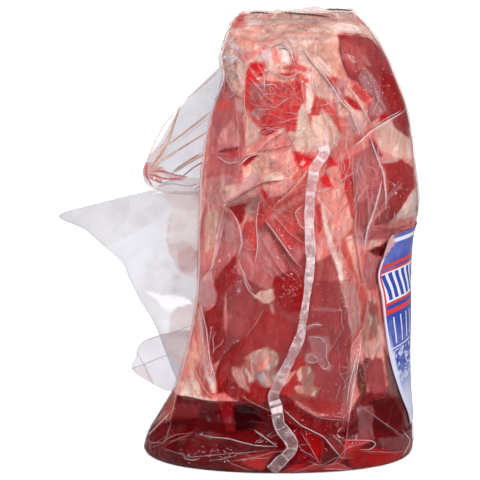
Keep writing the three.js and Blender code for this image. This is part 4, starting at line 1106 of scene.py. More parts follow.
def grid_normals(point, closed):
    """Which way a grid faces at each of its corners."""
    if closed:
        across = np.roll(point, -1, axis=1) - np.roll(point, 1, axis=1)
    else:
        across = np.gradient(point, axis=1)
    normal = np.cross(across, np.gradient(point, axis=0))
    return normal / np.maximum(np.linalg.norm(normal, axis=-1, keepdims=True), 1e-9)


class Skin:
    """The pack's outer surface, sampled round its middle line."""

    def __init__(self):
        front = np.linspace(math.pi, 2 * math.pi, SEAM_SIDE_COLUMNS, endpoint=False)
        back = np.linspace(0, math.pi, LABEL_SIDE_COLUMNS, endpoint=False)
        middle_rows = np.arange(FOOT_ROWS[-1] + ROW_STEP, TOP_ROW - 0.4, ROW_STEP)
        self.height = np.concatenate([FOOT_ROWS, middle_rows, [TOP_ROW]])
        self.turn, z = np.meshgrid(np.concatenate([back, front]), self.height)
        axis = profile(AXIS_KNOTS, z)
        away = np.stack([HALF_WIDTH * np.cos(self.turn), HALF_DEPTH * np.sin(self.turn)], -1)
        away /= np.linalg.norm(away, axis=-1, keepdims=True)
        radius = self.measure(axis, away, z)
        column = np.median(np.hypot(*np.diff(away * radius[..., None], axis=1).T))
        soft = blurred(radius, SMOOTHING / ROW_STEP, SMOOTHING / max(column, 0.5))
        keep = np.maximum(1 - smooth((z - FOOT_KEPT) / KEPT_EDGE), smooth((z - TOP_KEPT) / KEPT_EDGE))
        radius = mix(soft, radius, keep)
        self.point = np.stack([axis + away[..., 0] * radius, away[..., 1] * radius, z], -1)
        self.normal = grid_normals(self.point, True)
        self.x, self.y, self.z = np.moveaxis(self.point, -1, 0)
        self.front = smooth((0.35 - self.normal[..., 1]) / 0.5)
        self.arc = self.turn * GIRTH_RADIUS

    def measure(self, axis, away, z):
        """Distance from the middle line to the solid's skin."""
        tree = pack_tree()
        radius = np.zeros(z.shape)
        for index in np.ndindex(z.shape):
            dx, dy = away[index]
            start = Vector((axis[index] + dx * RAY_START, dy * RAY_START, z[index])) * MM
            hit = tree.ray_cast(start, Vector((-dx, -dy, 0)))
            radius[index] = RAY_START - hit[3] / MM if hit[0] else NO_SKIN
        return radius


skin = Skin()


# Meshes


def make_mesh(name, points, faces, material, values=None, colours=None):
    """Object from points in millimetres and faces, with a number or colour per point for each named value."""
    mesh = bpy.data.meshes.new(name)
    mesh.from_pydata((np.asarray(points) * MM).tolist(), [], [tuple(f) for f in faces])
    for key, numbers in (values or {}).items():
        layer = mesh.attributes.new(key, "FLOAT", "POINT")
        layer.data.foreach_set("value", np.ascontiguousarray(numbers, dtype=np.float32).ravel())
    if colours is not None:
        layer = mesh.attributes.new("tissue", "FLOAT_COLOR", "POINT")
        filled = np.concatenate([colours.reshape(-1, 3), np.ones((colours.size // 3, 1))], axis=1)
        layer.data.foreach_set("color", np.ascontiguousarray(filled, dtype=np.float32).ravel())
    mesh.polygons.foreach_set("use_smooth", [True] * len(mesh.polygons))
    mesh.materials.append(material)
    mesh.update()
    piece = bpy.data.objects.new(name, mesh)
    bpy.context.collection.objects.link(piece)
    return piece


def grid_faces(rows, columns, closed, start=0):
    """Quads between the corners of a grid; a closed grid joins its last column to its first."""
    last = columns if closed else columns - 1
    i, j = np.meshgrid(np.arange(rows - 1), np.arange(last), indexing="ij")
    ahead = (j + 1) % columns
    low, high = i * columns, (i + 1) * columns
    return (np.stack([low + j, low + ahead, high + ahead, high + j], -1).reshape(-1, 4) + start).tolist()


def closed_shell(name, point, material, values, colours=None):
    """Shell from a grid closed round the pack, with a fan over its foot and its top."""
    rows, columns = point.shape[:2]
    faces = grid_faces(rows, columns, True)
    foot, top = rows * columns, rows * columns + 1
    ends = [point[0].mean(axis=0), point[-1].mean(axis=0)]
    last = (rows - 1) * columns
    for j in range(columns):
        ahead = (j + 1) % columns
        faces.append((foot, ahead, j))
        faces.append((top, last + j, last + ahead))
    flat = np.concatenate([point.reshape(-1, 3), ends])
    filled = {k: np.concatenate([v.ravel(), [v[0].mean(), v[-1].mean()]]) for k, v in values.items()}
    if colours is not None:
        ends = [colours[0].mean(axis=0), colours[-1].mean(axis=0)]
        colours = np.concatenate([colours.reshape(-1, 3), ends])
    return make_mesh(name, flat, faces, material, filled, colours)


def open_sheet(name, point, material, values, colours=None):
    """Sheet from a grid with four free edges."""
    rows, columns = point.shape[:2]
    return make_mesh(name, point.reshape(-1, 3), grid_faces(rows, columns, False), material, values, colours)


# Materials


class Nodes:
    """Short way to write the node tree of a material or of the world."""

    def __init__(self, owner, output="Material"):
        self.owner = owner
        owner.use_nodes = True
        self.tree = owner.node_tree
        self.tree.nodes.clear()
        self.output = self.tree.nodes.new("ShaderNodeOutput" + output)

    def add(self, kind, settings=None, **inputs):
        node = self.tree.nodes.new("ShaderNode" + kind)
        for key, value in (settings or {}).items():
            setattr(node, key, value)
        for key, value in inputs.items():
            self.put(node, key.replace("_", " "), value)
        return node

    def put(self, node, key, value):
        socket = node.inputs[int(key)] if key.isdigit() else node.inputs[key]
        if isinstance(value, bpy.types.NodeSocket):
            self.tree.links.new(value, socket)
        else:
            socket.default_value = value

    def numbered(self, kind, settings, *values):
        """Node whose first inputs are given in their order."""
        return self.add(kind, settings, **{str(k): value for k, value in enumerate(values)})

    def math(self, operation, *values):
        return self.numbered("Math", {"operation": operation}, *values).outputs[0]

    def plus(self, first, second):
        return self.math("ADD", first, second)

    def times(self, product, *factors):
        for factor in factors:
            product = self.math("MULTIPLY", product, factor)
        return product

    def blend(self, amount, first, second, kind="MIX"):
        """Colour between two colours."""
        settings = {"data_type": "RGBA", "blend_type": kind}
        return self.add("Mix", settings, **{"0": amount, "6": first, "7": second}).outputs[2]

    def choose(self, switch, off, on):
        """Number between two numbers."""
        return self.add("Mix", **{"0": switch, "2": off, "3": on}).outputs[0]

    def mix_shaders(self, amount, first, second):
        return self.numbered("MixShader", {}, amount, first, second).outputs[0]

    def ramp(self, value, low, high, to_low=0.0, to_high=1.0, kind="SMOOTHSTEP"):
        """Change from to_low where the value is low to to_high where it is high."""
        settings = {"interpolation_type": kind}
        return self.numbered("MapRange", settings, value, low, high, to_low, to_high).outputs[0]

    def grey(self, value):
        return self.add("CombineColor", Red=value, Green=value, Blue=value).outputs[0]

    def value(self, name):
        return self.add("Attribute", {"attribute_name": name}).outputs["Fac"]

    def tone(self, name):
        return self.add("Attribute", {"attribute_name": name}).outputs["Color"]

    def noise(self, scale, detail=4.0, roughness=0.5, distortion=0.0, stretch=(1, 1, 1)):
        """Noise from 0 to 1, its scale in bumps a metre."""
        place = self.add("TexCoord").outputs["Object"]
        mapping = self.add("Mapping", Vector=place, Scale=stretch)
        node = self.add("TexNoise", Vector=mapping.outputs[0], Scale=scale, Detail=detail,
                        Roughness=roughness, Distortion=distortion)
        return node.outputs["Fac"]

    def cells(self, scale, feature, turn, stretch, distance=None):
        """Irregular panes, longer one way, in coordinates that are bent a little."""
        place = self.add("TexCoord").outputs["Object"]
        wobble = self.add("TexNoise", Vector=place, Scale=70.0, Detail=2.0).outputs["Color"]
        amount = (0.012, 0.012, 0.012)
        bent = self.numbered("VectorMath", {"operation": "MULTIPLY_ADD"}, wobble, amount, place)
        mapping = self.add("Mapping", {"vector_type": "TEXTURE"}, Vector=bent.outputs[0],
                           Rotation=(0, turn, 0), Scale=(1, 1, stretch))
        settings = {"feature": feature}
        if distance:
            settings["distance"] = distance
        return self.add("TexVoronoi", settings, Vector=mapping.outputs[0], Scale=scale)

    def crinkle(self, scale, turn, stretch):
        """How near a place is to the edge of its pane, and a number from 0 to 1 that the pane keeps."""
        edge = self.cells(scale, "DISTANCE_TO_EDGE", turn, stretch).outputs["Distance"]
        own = self.cells(scale, "F1", turn, stretch).outputs["Color"]
        return self.ramp(edge, 0.05, 0.0), self.add("SeparateColor", Color=own).outputs[0]

    def bump(self, height, strength, distance):
        return self.add("Bump", Height=height, Strength=strength, Distance=distance).outputs[0]

    def finish(self, shader):
        self.tree.links.new(shader, self.output.inputs["Surface"])
        return self.owner


def new_material(name):
    return Nodes(bpy.data.materials.new(name))


def colour(red, green, blue):
    """Linear colour from the 0 to 255 numbers that a screen shows."""
    def linear(c):
        c /= 255.0
        return c / 12.92 if c <= 0.04045 else ((c + 0.055) / 1.055) ** 2.4
    return (linear(red), linear(green), linear(blue), 1.0)


def meat_material():
    n = new_material("wet_brisket")
    tone, fat, slack = n.tone("tissue"), n.value("fat"), n.value("slack")
    lean = n.math("SUBTRACT", 1.0, fat)
    grain = n.noise(190.0, 5.0, 0.6, 0.6, (1.0, 1.0, 0.4))
    fine = n.noise(1100.0, 3.0, 0.6)
    veins = n.ramp(n.noise(95.0, 5.0, 0.6, 1.8, (1.0, 1.0, 0.5)), 0.56, 0.66)
    flecks = n.ramp(n.noise(520.0, 3.0, 0.6, 0.5, (1.0, 1.0, 0.5)), 0.6, 0.72)
    tone = n.blend(n.times(veins, fat, 0.3), tone, colour(206, 88, 78))
    tone = n.blend(n.times(flecks, lean, 0.14), tone, colour(222, 150, 146))
    shade = n.ramp(grain, 0.3, 0.7, 0.84, 1.06)
    # Each facet of slack film is lighter or darker: painted light and shade of the crumpled film
    edge, own = n.crinkle(*FILM_CRINKLES[0])
    change = n.times(n.math("SUBTRACT", own, 0.45), 0.6)
    shade = n.times(shade, n.plus(1.0, n.times(change, slack)))
    stain = n.times(edge, slack, n.ramp(n.noise(60.0, 2.0), 0.45, 0.62, 0.0, 0.7))
    tone = n.blend(stain, tone, colour(206, 74, 62))
    tone = n.blend(1.0, tone, n.grey(shade), "MULTIPLY")
    bump = n.bump(n.plus(grain, n.times(fine, 0.3)), 0.5, 0.0008)
    shader = n.add("BsdfPrincipled", Base_Color=tone, Roughness=0.5, Normal=bump, Subsurface_Weight=0.1,
                   Subsurface_Radius=(0.004, 0.0015, 0.001), Specular_IOR_Level=0.05)
    return n.finish(shader.outputs[0])


def brine_material():
    n = new_material("red_brine")
    swirl = n.ramp(n.noise(40.0, 4.0, 0.55, 1.4), 0.35, 0.7, 0.75, 1.25)
    tone = n.blend(1.0, n.tone("tissue"), n.grey(swirl), "MULTIPLY")
    shader = n.add("BsdfPrincipled", Base_Color=tone, Roughness=0.5, Specular_IOR_Level=0.0)
    return n.finish(shader.outputs[0])


def film_shader(n, milk, haze, tint, bump, roughness=0.06):
    """Clear film: see-through by tint, milky by haze, glossy by its own sheen."""
    through = n.add("BsdfTransparent", Color=tint)
    milky = n.add("BsdfPrincipled", Base_Color=milk, Roughness=0.6, Normal=bump, Specular_IOR_Level=0.0)
    body = n.mix_shaders(haze, through.outputs[0], milky.outputs[0])
    gloss = n.add("BsdfGlossy", Color=WHITE, Roughness=roughness, Normal=bump)
    inner = n.add("NewGeometry").outputs["Backfacing"]
    fresnel = n.add("Fresnel", IOR=FILM_IOR, Normal=bump).outputs[0]
    sheen = n.plus(n.times(fresnel, n.math("SUBTRACT", 1.0, inner)), n.times(inner, INNER_SHEEN))
    return n.mix_shaders(sheen, body, gloss.outputs[0])


def film_material():
    n = new_material("bag_film")
    # haze holds milky patches and painted reflections; pane holds painted sheen and ridge highlights
    slack, veil, panes = n.value("slack"), n.value("haze"), n.value("pane")
    ripple = n.noise(150.0, 3.0, 0.5, 1.5)
    tents = n.cells(170.0, "F1", 0.5, 2.2, "MANHATTAN").outputs["Distance"]
    tilt = n.times(tents, 2.2)
    mottle = n.ramp(n.noise(210.0, 4.0, 0.6, 1.0), 0.35, 0.7, 0.75, 1.2)
    shown = n.ramp(n.noise(90.0, 2.0), 0.42, 0.58)
    # Crinkles of slack film: painted highlights along pane edges and painted sheen on some panes
    for scale, turn, stretch in FILM_CRINKLES:
        edge, own = n.crinkle(scale, turn, stretch)
        line = n.times(edge, shown, 0.5)
        pane = n.times(n.ramp(own, 0.6, 0.95), 0.24)
        panes = n.plus(panes, n.times(n.math("MAXIMUM", line, pane), slack))
        tilt = n.plus(tilt, n.times(edge, 0.5))
    bump = n.bump(n.plus(n.times(ripple, 0.3), n.times(tilt, slack)), 0.5, 0.0012)
    milky = n.plus(veil, panes)
    share = n.times(n.math("DIVIDE", veil, n.plus(milky, 0.001)), n.value("pallor"))
    milk = n.blend(share, n.tone("tissue"), colour(236, 212, 216))
    haze = n.math("MINIMUM", n.times(milky, mottle), 0.85)
    return n.finish(film_shader(n, milk, haze, WHITE, bump))


def strand_material(name, rgb, ripple, milk, relief=(0.3, 0.0003), tint=WHITE):
    """Film along a fold: its colour, its ripple, how milky it is from and to, its relief and its tint."""
    n = new_material(name)
    ripple = n.noise(*ripple)
    haze = n.ramp(ripple, 0.3, 0.7, *milk)
    return n.finish(film_shader(n, colour(*rgb), haze, tint, n.bump(ripple, *relief), 0.12))


# Fine edges along folds, whose colours paint highlights and shadow lines
def edge_material(kind):
    rgb, strength = EDGE_KINDS[kind]
    return strand_material("film_edge_" + kind, rgb, (500.0, 2.0, 0.5), (strength * 0.7, strength * 1.15))


def crease_material(tone):
    rgb, strength = CREASE_TONES[tone]
    milk = (strength * 0.6, strength * 1.3)
    tint = (1, 0.98, 0.97, 1)
    return strand_material("loop_crease_" + tone, rgb, (260.0, 3.0, 0.6), milk, (0.4, 0.0004), tint)


def loose_film_material():
    n = new_material("loose_film")
    bump = n.bump(n.noise(30.0, 2.0, 0.4, 0.5), 0.2, 0.001)
    cloud = n.ramp(n.noise(60.0, 4.0, 0.6, 1.0), 0.4, 0.75, 0.9, 1.15)
    haze = n.times(n.value("haze"), cloud)
    return n.finish(film_shader(n, n.tone("tissue"), haze, (0.845, 0.835, 0.865, 1), bump))


def seam_material():
    n = new_material("welded_film")
    ripple = n.noise(380.0, 4.0, 0.6, 0.6)
    haze = n.times(n.value("haze"), n.ramp(ripple, 0.3, 0.7, 0.7, 1.2))
    bump = n.bump(ripple, 0.5, 0.0005)
    return n.finish(film_shader(n, colour(236, 214, 218), haze, (1, 0.97, 0.97, 1), bump, 0.12))


def label_material():
    """Print of the label: stripes, a white box with slanted bars, thin strokes and a pale worn foot."""
    n = new_material("printed_label")
    up, along_label = n.value("label_up"), n.value("label_along")
    tones = {name: colour(*rgb) for name, rgb in LABEL_TONES.items()}

    def band(value, low, high):
        return n.times(n.math("GREATER_THAN", value, low), n.math("LESS_THAN", value, high))

    def bars(width, share, slant):
        place = n.plus(along_label, n.times(up, slant))
        return n.math("GREATER_THAN", n.math("PINGPONG", place, width), width * share)

    def faded(value, pale_at, full_at):
        return n.ramp(value, full_at, pale_at)
    veiled = n.ramp(n.noise(45.0, 3.0, 0.5, 1.0), 0.42, 0.62, 0.0, 0.45)
    veiled = n.plus(veiled, n.ramp(up, 122.0, 130.0, 0.0, 0.35))
    tone = n.blend(veiled, tones["blue"], tones["veiled blue"])
    for low, high, name in LABEL_STRIPES:
        tone = n.blend(band(up, low, high), tone, tones[name])
    tone = n.blend(n.times(band(up, *SLANTED_BARS), bars(2.6, 0.42, 0.16)), tone, tones["blue"])
    tone = n.blend(n.times(band(up, *THIN_STROKES), bars(2.9, 0.84, -0.05)), tone, tones["white"])
    worn = n.ramp(n.noise(160.0, 4.0, 0.6, 1.5), 0.46, 0.58)
    tone = n.blend(n.times(worn, band(up, *WORN_PRINT)), tone, tones["worn blue"])
    tone = n.blend(faded(up, 34, 60), tone, tones["pale foot"])
    beside_box = n.times(band(along_label, *BOX_SIDE_LINE), band(up, *BOX_SIDE))
    tone = n.blend(beside_box, tone, tones["red"])
    for low, high, name in LABEL_EDGE_LINES:
        tone = n.blend(band(along_label, low, high), tone, tones[name])
    tone = n.blend(n.times(faded(up, 60, 88), faded(along_label, 2.5, 4.5)), tone, tones["pale edge"])
    tone = n.blend(n.value("label_curl"), tone, tones["curl"])
    bump = n.bump(n.noise(50.0, 2.0, 0.5, 1.0), 0.25, 0.001)
    shader = n.add("BsdfPrincipled", Base_Color=tone, Roughness=0.16, Normal=bump)
    return n.finish(shader.outputs[0])


def floor_material():
    n = new_material("studio_floor")
    tone = n.blend(n.noise(4.0, 2.0), (0.5, 0.5, 0.5, 1), (0.52, 0.52, 0.52, 1))
    seen = n.add("LightPath").outputs["Is Camera Ray"]
    shader = n.add("BsdfPrincipled", Base_Color=tone, Roughness=0.8, Emission_Strength=seen,
                   Emission_Color=WHITE)
    return n.finish(shader.outputs[0])


# Fields over the pack's skin


def linear_colours(tones):
    """Linear red, green and blue of each named tone."""
    return {name: np.array(colour(*rgb)[:3]) for name, (rgb, _) in tones.items()}


def streaks(x, z, seed):
    """Long uneven marks, from 0 to 1, that run up and down, and level near the top."""
    bent = x + 4.0 * fractal(x, z, 18, seed)
    upright = fractal(bent * 3.4, z * 0.7, 8, seed + 5, 3)
    level = fractal(x * 0.6, (z + 3.0 * fractal(x, z, 24, seed)) * 2.6, 8, seed + 7, 3)
    return smooth((mix(upright, level, smooth((z - 256) / 6)) - 0.06) / 0.22)


def paint(x, z, regions, base, palette=TONES):
    """Colour at each point and its fat or milkiness, from regions over each other with ragged edges."""
    bend_x = x + 0.8 * fractal(x, z, 10, 3) + 0.4 * value_noise(x, z, 2.8, 13)
    bend_z = z + 0.8 * fractal(x, z, 10, 9) + 0.4 * value_noise(x, z, 2.8, 19)
    tones = linear_colours(palette)
    shade = np.broadcast_to(tones[base], x.shape + (3,)).copy()
    fat = np.full(x.shape, palette[base][1])
    for _, tone, *_, outline in regions:
        inside = cover(bend_x, bend_z, outline, TISSUE_EDGE)
        shade = mix(shade, tones[tone], inside[..., None])
        fat = mix(fat, palette[tone][1], inside)
    return shade, fat


def softened(regions):
    """The same regions with their corners cut twice."""
    soft = []
    for name, tone, loose, outline in regions:
        points = np.array(outline, float)
        for _ in range(2):
            ahead = np.roll(points, -1, axis=0)
            points = np.stack([0.75 * points + 0.25 * ahead, 0.25 * points + 0.75 * ahead], 1).reshape(-1, 2)
        soft.append((name, tone, loose, points))
    return soft


def label_side_paint():
    """Colour and fat of the label side, whose patches have softer and more wandering edges."""
    x = skin.x + 5.0 * fractal(skin.x, skin.z, 26, 83)
    z = skin.z + 5.0 * fractal(skin.x, skin.z, 26, 87)
    shade, fat = paint(x, z, softened(LABEL_SIDE_REGIONS), "rose")
    veins = streaks(skin.x * 0.8, skin.z * 1.4, 89) * smooth(fractal(skin.x, skin.z, 30, 81) / 0.3)
    return mix(shade, linear_colours(TONES)["salmon"], (0.45 * veins * (1 - fat))[..., None]), fat


def marbled(x, z, shade, fat):
    """The same colours with streaks of red and pale fat through them."""
    tones = linear_colours(TONES)
    lean = 1 - fat
    strewn = [("red salmon", 0.5 * fat, 43), ("ivory", 0.55 * fat, 53), ("light salmon", 0.35 * fat, 57),
              ("dark rose", 0.2 * lean, 63), ("mauve", 0.1 * lean, 73)]
    for tone, amount, seed in strewn:
        shade = mix(shade, tones[tone], (amount * streaks(x, z, seed))[..., None])
    shade = shade * (1.0 + 0.14 * fractal(x, z, 9, 41))[..., None]
    return np.clip(shade, 0, 1)


def along_folds(x, z, folds, reach, ends, amount):
    """Greatest of what the folds give each place: amount takes the fold, the distance to it and the side."""
    total = np.zeros_like(x)
    for fold in folds:
        near = around(x, z, fold[-1], reach)
        away, side, place = from_line(x[near], z[near], fold[-1])
        total[near] = np.maximum(total[near], amount(fold, away, side) * tapered(place, ends))
    return total


def crease_shade(x, z):
    """Darkening of what lies under the film along the dark side of each fold."""
    def darkening(fold, away, side):
        return np.exp(-away / 1.3) * (side < 0) * min(fold[3], 1.2) * 0.5
    return along_folds(x, z, ALL_FOLDS, 4.0, 0.2, darkening)


def looseness(x, z, regions):
    """How loose the film lies over the regions, 0 where it is tight."""
    loose = np.full(x.shape, USUAL_LOOSENESS)
    for _, _, slack, outline in regions:
        loose = mix(loose, slack, cover(x, z, outline, LOOSENESS_EDGE))
    return loose


def seam_side_looseness():
    return looseness(skin.x, skin.z, REGIONS + BRINE_REGIONS)


def label_cover():
    """1 where the label lies on the skin."""
    x, z = skin.x, skin.z
    near = profile(LABEL_NEAR_EDGE, z)
    on_side = smooth((x - near + LABEL_SIDE_MARGIN) / LABEL_MARGIN_EDGE)
    on_back = smooth((x - LABEL_FAR_EDGE + LABEL_SIDE_MARGIN) / LABEL_MARGIN_EDGE) * (skin.y > 0)
    rows = smooth((z - LABEL_BOTTOM + LABEL_END_MARGIN) / LABEL_MARGIN_EDGE)
    rows = rows * smooth((LABEL_TOP + LABEL_END_MARGIN - z) / LABEL_MARGIN_EDGE)
    return np.maximum(on_side, on_back) * rows


# Pieces


def film_slack():
    """How crumpled the film is, from 0 where it is tight to 1."""
    front = seam_side_looseness() * mix(0.5, 1.0, above_brine(6.0))
    back = looseness(skin.x, skin.z, LABEL_SIDE_REGIONS)
    return mix(0.8 * back, front, skin.front) * (1 - label_cover())


def fold_ridges(folds):
    """Height of the ridges along the folds: steep on one side and long on the other."""
    def rise(fold, away, side):
        reach = np.where(side > 0, RIDGE_LONG_SIDE, RIDGE_STEEP_SIDE)
        return fold[3] * np.clip(1 - away / reach, 0, 1) ** 1.2
    return along_folds(skin.x, skin.z, folds, RIDGE_LONG_SIDE, 0.15, rise)


def film_lift():
    """How far the film stands off the skin of the pack."""
    x, z, side = skin.x, skin.z, skin.front
    loose = mix(looseness(x, z, LABEL_SIDE_REGIONS), seam_side_looseness(), side)
    route = [place for place in SEAM_ROUTE if place[1] > SEAM_TIGHT_ABOVE]
    off_seam = smooth((from_line(x, z, route)[0] - 2.5) / 4.0)
    loose = mix(loose, loose * off_seam, side) * (1 - label_cover())
    crumpled = sum(height * facets(skin.arc, z, *pattern) for height, *pattern in FILM_CRUMPLES)
    crumpled *= 0.15 + 0.85 * smooth((np.abs(skin.normal[..., 1]) - 0.1) / 0.6)
    ridges = mix(fold_ridges(LABEL_SIDE_FOLDS), fold_ridges(ALL_FOLDS), side)
    fade = smooth(z / 9.0) * smooth((277 - z) / 8.0)
    return FILM_LIFT + (np.maximum(loose * (crumpled + 0.5), 0) + ridges) * fade * (1 - label_cover())


def brine_level():
    """Height of the brine's edge, round the pack."""
    return mix(BRINE_EDGE_BEHIND, profile(BRINE_EDGE, skin.x), skin.front)


def above_brine(span):
    """0 up to the brine's edge, easing to 1 over a height above it."""
    return smooth((skin.z - brine_level()) / span)


def make_meat(lift):
    x, z, side = skin.x, skin.z, skin.front
    shade, fat = paint(x, z, REGIONS, "pink")
    back_shade, back_fat = label_side_paint()
    shade = mix(back_shade, shade, side[..., None])
    fat = mix(back_fat, fat, side)
    shade = marbled(x, z, shade, fat) * (1 - crease_shade(x, z) * side)[..., None]
    slack = mix(0.3, looseness(x, z, REGIONS), side)
    lumps = slack * (0.9 * fractal(skin.arc, z, 16, 61) + 0.5 * facets(skin.arc, z, 7, 65, 0.8))
    rise = np.minimum(lumps - MEAT_UNDER_FILM, lift - FILM_LIFT)
    rise = rise - MEAT_DRAWN_BACK * smooth((brine_level() - z) / 6.0)
    point = skin.point + skin.normal * rise[..., None]
    keep = (skin.height < MEAT_TOP) & (skin.height > MEAT_FOOT)
    values = {"fat": fat[keep], "slack": film_slack()[keep]}
    return closed_shell("brisket", point[keep], meat_material(), values, shade[keep])


def make_brine():
    x, z = skin.x, skin.z
    level = brine_level() + 0.8 * fractal(skin.arc, z, 12, 71)
    under = BRINE_UNDER_FILM + BRINE_DRAWN_BACK * smooth((z - level) / 3.0)
    point = skin.point - skin.normal * under[..., None]
    shade, _ = paint(x, z, BRINE_REGIONS, "brine")
    shade = shade * (1 - crease_shade(x, z) * skin.front)[..., None]
    keep = skin.height < BRINE_TOP
    return closed_shell("brine", point[keep], brine_material(), {}, shade[keep])


def film_veils():
    """How milky the film is by itself, with painted reflections of the lights in some patches."""
    outlines = {name: outline for name, _, _, outline in REGIONS + BRINE_REGIONS}
    veil = np.zeros_like(skin.x)
    for name, milk, *own in VEILS_AND_REFLECTIONS:
        outline = own[0] if own else outlines[name]
        veil = mix(veil, milk, cover(skin.x, skin.z, outline, VEIL_EDGE) * skin.front)
    return veil


def fold_panes(folds):
    """Painted sheen beside each fold, on its long side, put on as milkiness."""
    def milkiness(fold, away, side):
        name, kind, _, height, _ = fold
        strength = FOLD_SHEEN_STRENGTH[kind] * (0.5 if name == "crinkle" else 1.0)
        return strength * np.exp(-away / 1.6) * (side > 0) * min(height, 1.2)
    return along_folds(skin.x, skin.z, folds, 7.0, 0.25, milkiness)


def film_panes(lift):
    """Painted sheen and highlights, put on as milkiness: beside each fold and on sharp ridges."""
    panes = mix(fold_panes(LABEL_SIDE_FOLDS), fold_panes(ALL_FOLDS), skin.front)
    panes = np.maximum(panes, crease_haze(lift) * mix(0.7, 1.0, skin.front))
    return panes * mix(0.45, 1.0, above_brine(5.0)) * (1 - label_cover())


def crease_haze(lift):
    """Painted highlight along the sharp ridges of the film, put on as milkiness, from how strongly its lift
    bends.
    """
    along_row = np.roll(lift, -1, axis=1) - 2 * lift + np.roll(lift, 1, axis=1)
    up = np.zeros_like(lift)
    up[1:-1] = lift[2:] - 2 * lift[1:-1] + lift[:-2]
    return np.clip(-(along_row / 0.6 + up) - 0.06, 0, 0.5) * 0.9


def tissue_seen():
    """Colour of the meat or the brine under the film."""
    meat_shade, _ = paint(skin.x, skin.z, REGIONS, "pink")
    back_shade, _ = label_side_paint()
    brine_shade, _ = paint(skin.x, skin.z, BRINE_REGIONS, "brine")
    shade = mix(back_shade, meat_shade, skin.front[..., None])
    return mix(shade, brine_shade, smooth((brine_level() - skin.z) / 2.0)[..., None])


def make_film(lift):
    point = skin.point + skin.normal * lift[..., None]
    values = {"haze": film_veils(), "pane": film_panes(lift), "slack": film_slack(),
              "pallor": mix(0.15, 0.6, above_brine(5.0))}
    paler = tissue_seen() ** np.array(PANE_LIGHTNESS)
    return closed_shell("bag_film", point, film_material(), values, paler), point


class Film:
    """Finds places on the film's seam side."""

    def __init__(self, point):
        rows, columns = point.shape[:2]
        corners = point.reshape(-1, 3).tolist()
        self.tree = BVHTree.FromPolygons(corners, grid_faces(rows, columns, True))

    def at(self, x, z):
        """Place on the film at x and z, and the way it faces."""
        hit = self.tree.ray_cast(Vector((x, FILM_RAY_START, z)), Vector((0, 1, 0)))
        if hit[0] is None or hit[0].y > FILM_RAY_END:
            hit = self.tree.find_nearest(Vector((x, FILM_NEARBY, z)))
        normal = np.array(hit[1])
        return np.array(hit[0]), normal if normal[1] < 0 else -normal


def strand(film_at, line, radius, lift, sides=5):
    """Rounded edge along a line on the film, thin at its ends: a grid of rings."""
    path = rounded(along(line, 1.0), 3)
    found = [film_at(x, z) for x, z in path]
    normal = np.array([n for _, n in found])
    centre = rounded(np.array([p for p, _ in found]), 2) + normal * lift
    across = np.cross(np.gradient(centre, axis=0), normal)
    across /= np.maximum(np.linalg.norm(across, axis=1, keepdims=True), 1e-9)
    wide = radius * (0.25 + 0.75 * tapered(np.linspace(0, 1, len(path)), 0.2))
    turn = np.arange(sides) * 2 * math.pi / sides
    ring = across[:, None] * np.cos(turn)[None, :, None] + 0.7 * normal[:, None] * np.sin(turn)[None, :, None]
    return centre[:, None] + ring * wide[:, None, None]


def joined_strands(name, strands, material):
    """One object from several strands."""
    points, faces = [], []
    for rings in strands:
        faces += grid_faces(rings.shape[0], rings.shape[1], True, len(points))
        points += rings.reshape(-1, 3).tolist()
    return make_mesh(name, points, faces, material)


# Strands along the folds and crinkles, whose colours paint highlights and shadow lines
def make_fold_edges(film_place):
    pieces = []
    for kind in sorted({fold[1] for fold in FOLDS}):
        lines = [(line, width * EDGE_RADIUS) for _, k, width, _, line in ALL_FOLDS if k == kind]
        strands = [strand(film_place.at, line, radius, EDGE_LIFT) for line, radius in lines]
        pieces.append(joined_strands("folds_" + kind, strands, edge_material(kind)))
    return pieces


def hem_at(film_place):
    """Places on the hem by x and z: it stands up from its root on the film and drops as it runs back."""
    middle, _ = film_place.at(5.0, HEM_ROOT)

    def place(x, z):
        root, _ = film_place.at(x, HEM_ROOT)
        rise = z - HEM_ROOT
        upright = smooth(rise / 3.0)
        crumple = 0.5 * math.sin(x * 0.9) + 0.35 * math.sin(x * 2.3 + z)
        depth = root[1] - 0.6 + 0.12 * rise + crumple * upright
        drop = max(root[1] - middle[1], 0.0) * math.tan(CAMERA_ELEVATION) * upright
        return np.array([x, depth, z - drop]), FACING
    return place


def make_hem(film_place):
    """Crumpled hem of empty film along the top end, with painted shade in the slits between its layers."""
    place = hem_at(film_place)
    x = np.arange(HEM_EDGE[0][0], HEM_EDGE[-1][0], 0.6)
    top = np.interp(x, *np.array(HEM_EDGE).T) + 0.3 * value_noise(x, x * 0, 1.6, 91)
    levels = np.linspace(0, 1, 12)
    point = np.array([[place(a, mix(HEM_ROOT, b, v))[0] for a, b in zip(x, top)] for v in levels])
    rise = levels[:, None] * np.ones_like(x)
    across, up = point[..., 0], point[..., 2]
    folded = smooth((value_noise(across * 1.6, up * 0.5, 2.2, 93) - 0.1) / 0.4)
    stained = smooth((value_noise(across * 0.4, up * 0.3, 2.2, 95) - 0.05) / 0.4)[..., None]
    haze = (0.3 + 0.35 * folded + 0.3 * smooth((rise - 0.9) / 0.1)) * smooth(rise / 0.3)
    tones = linear_colours(TONES)
    tone = mix(tones["tan"], tones["pale grey"], folded[..., None])
    tone = mix(tone, tones["red salmon"], 0.6 * stained)
    sheet = open_sheet("top_hem", point, loose_film_material(), {"haze": haze}, tone)
    slits = [strand(place, line, width * 0.5, 0.3) for _, width, line in SLITS]
    return [sheet, joined_strands("hem_slits", slits, edge_material("slit"))]


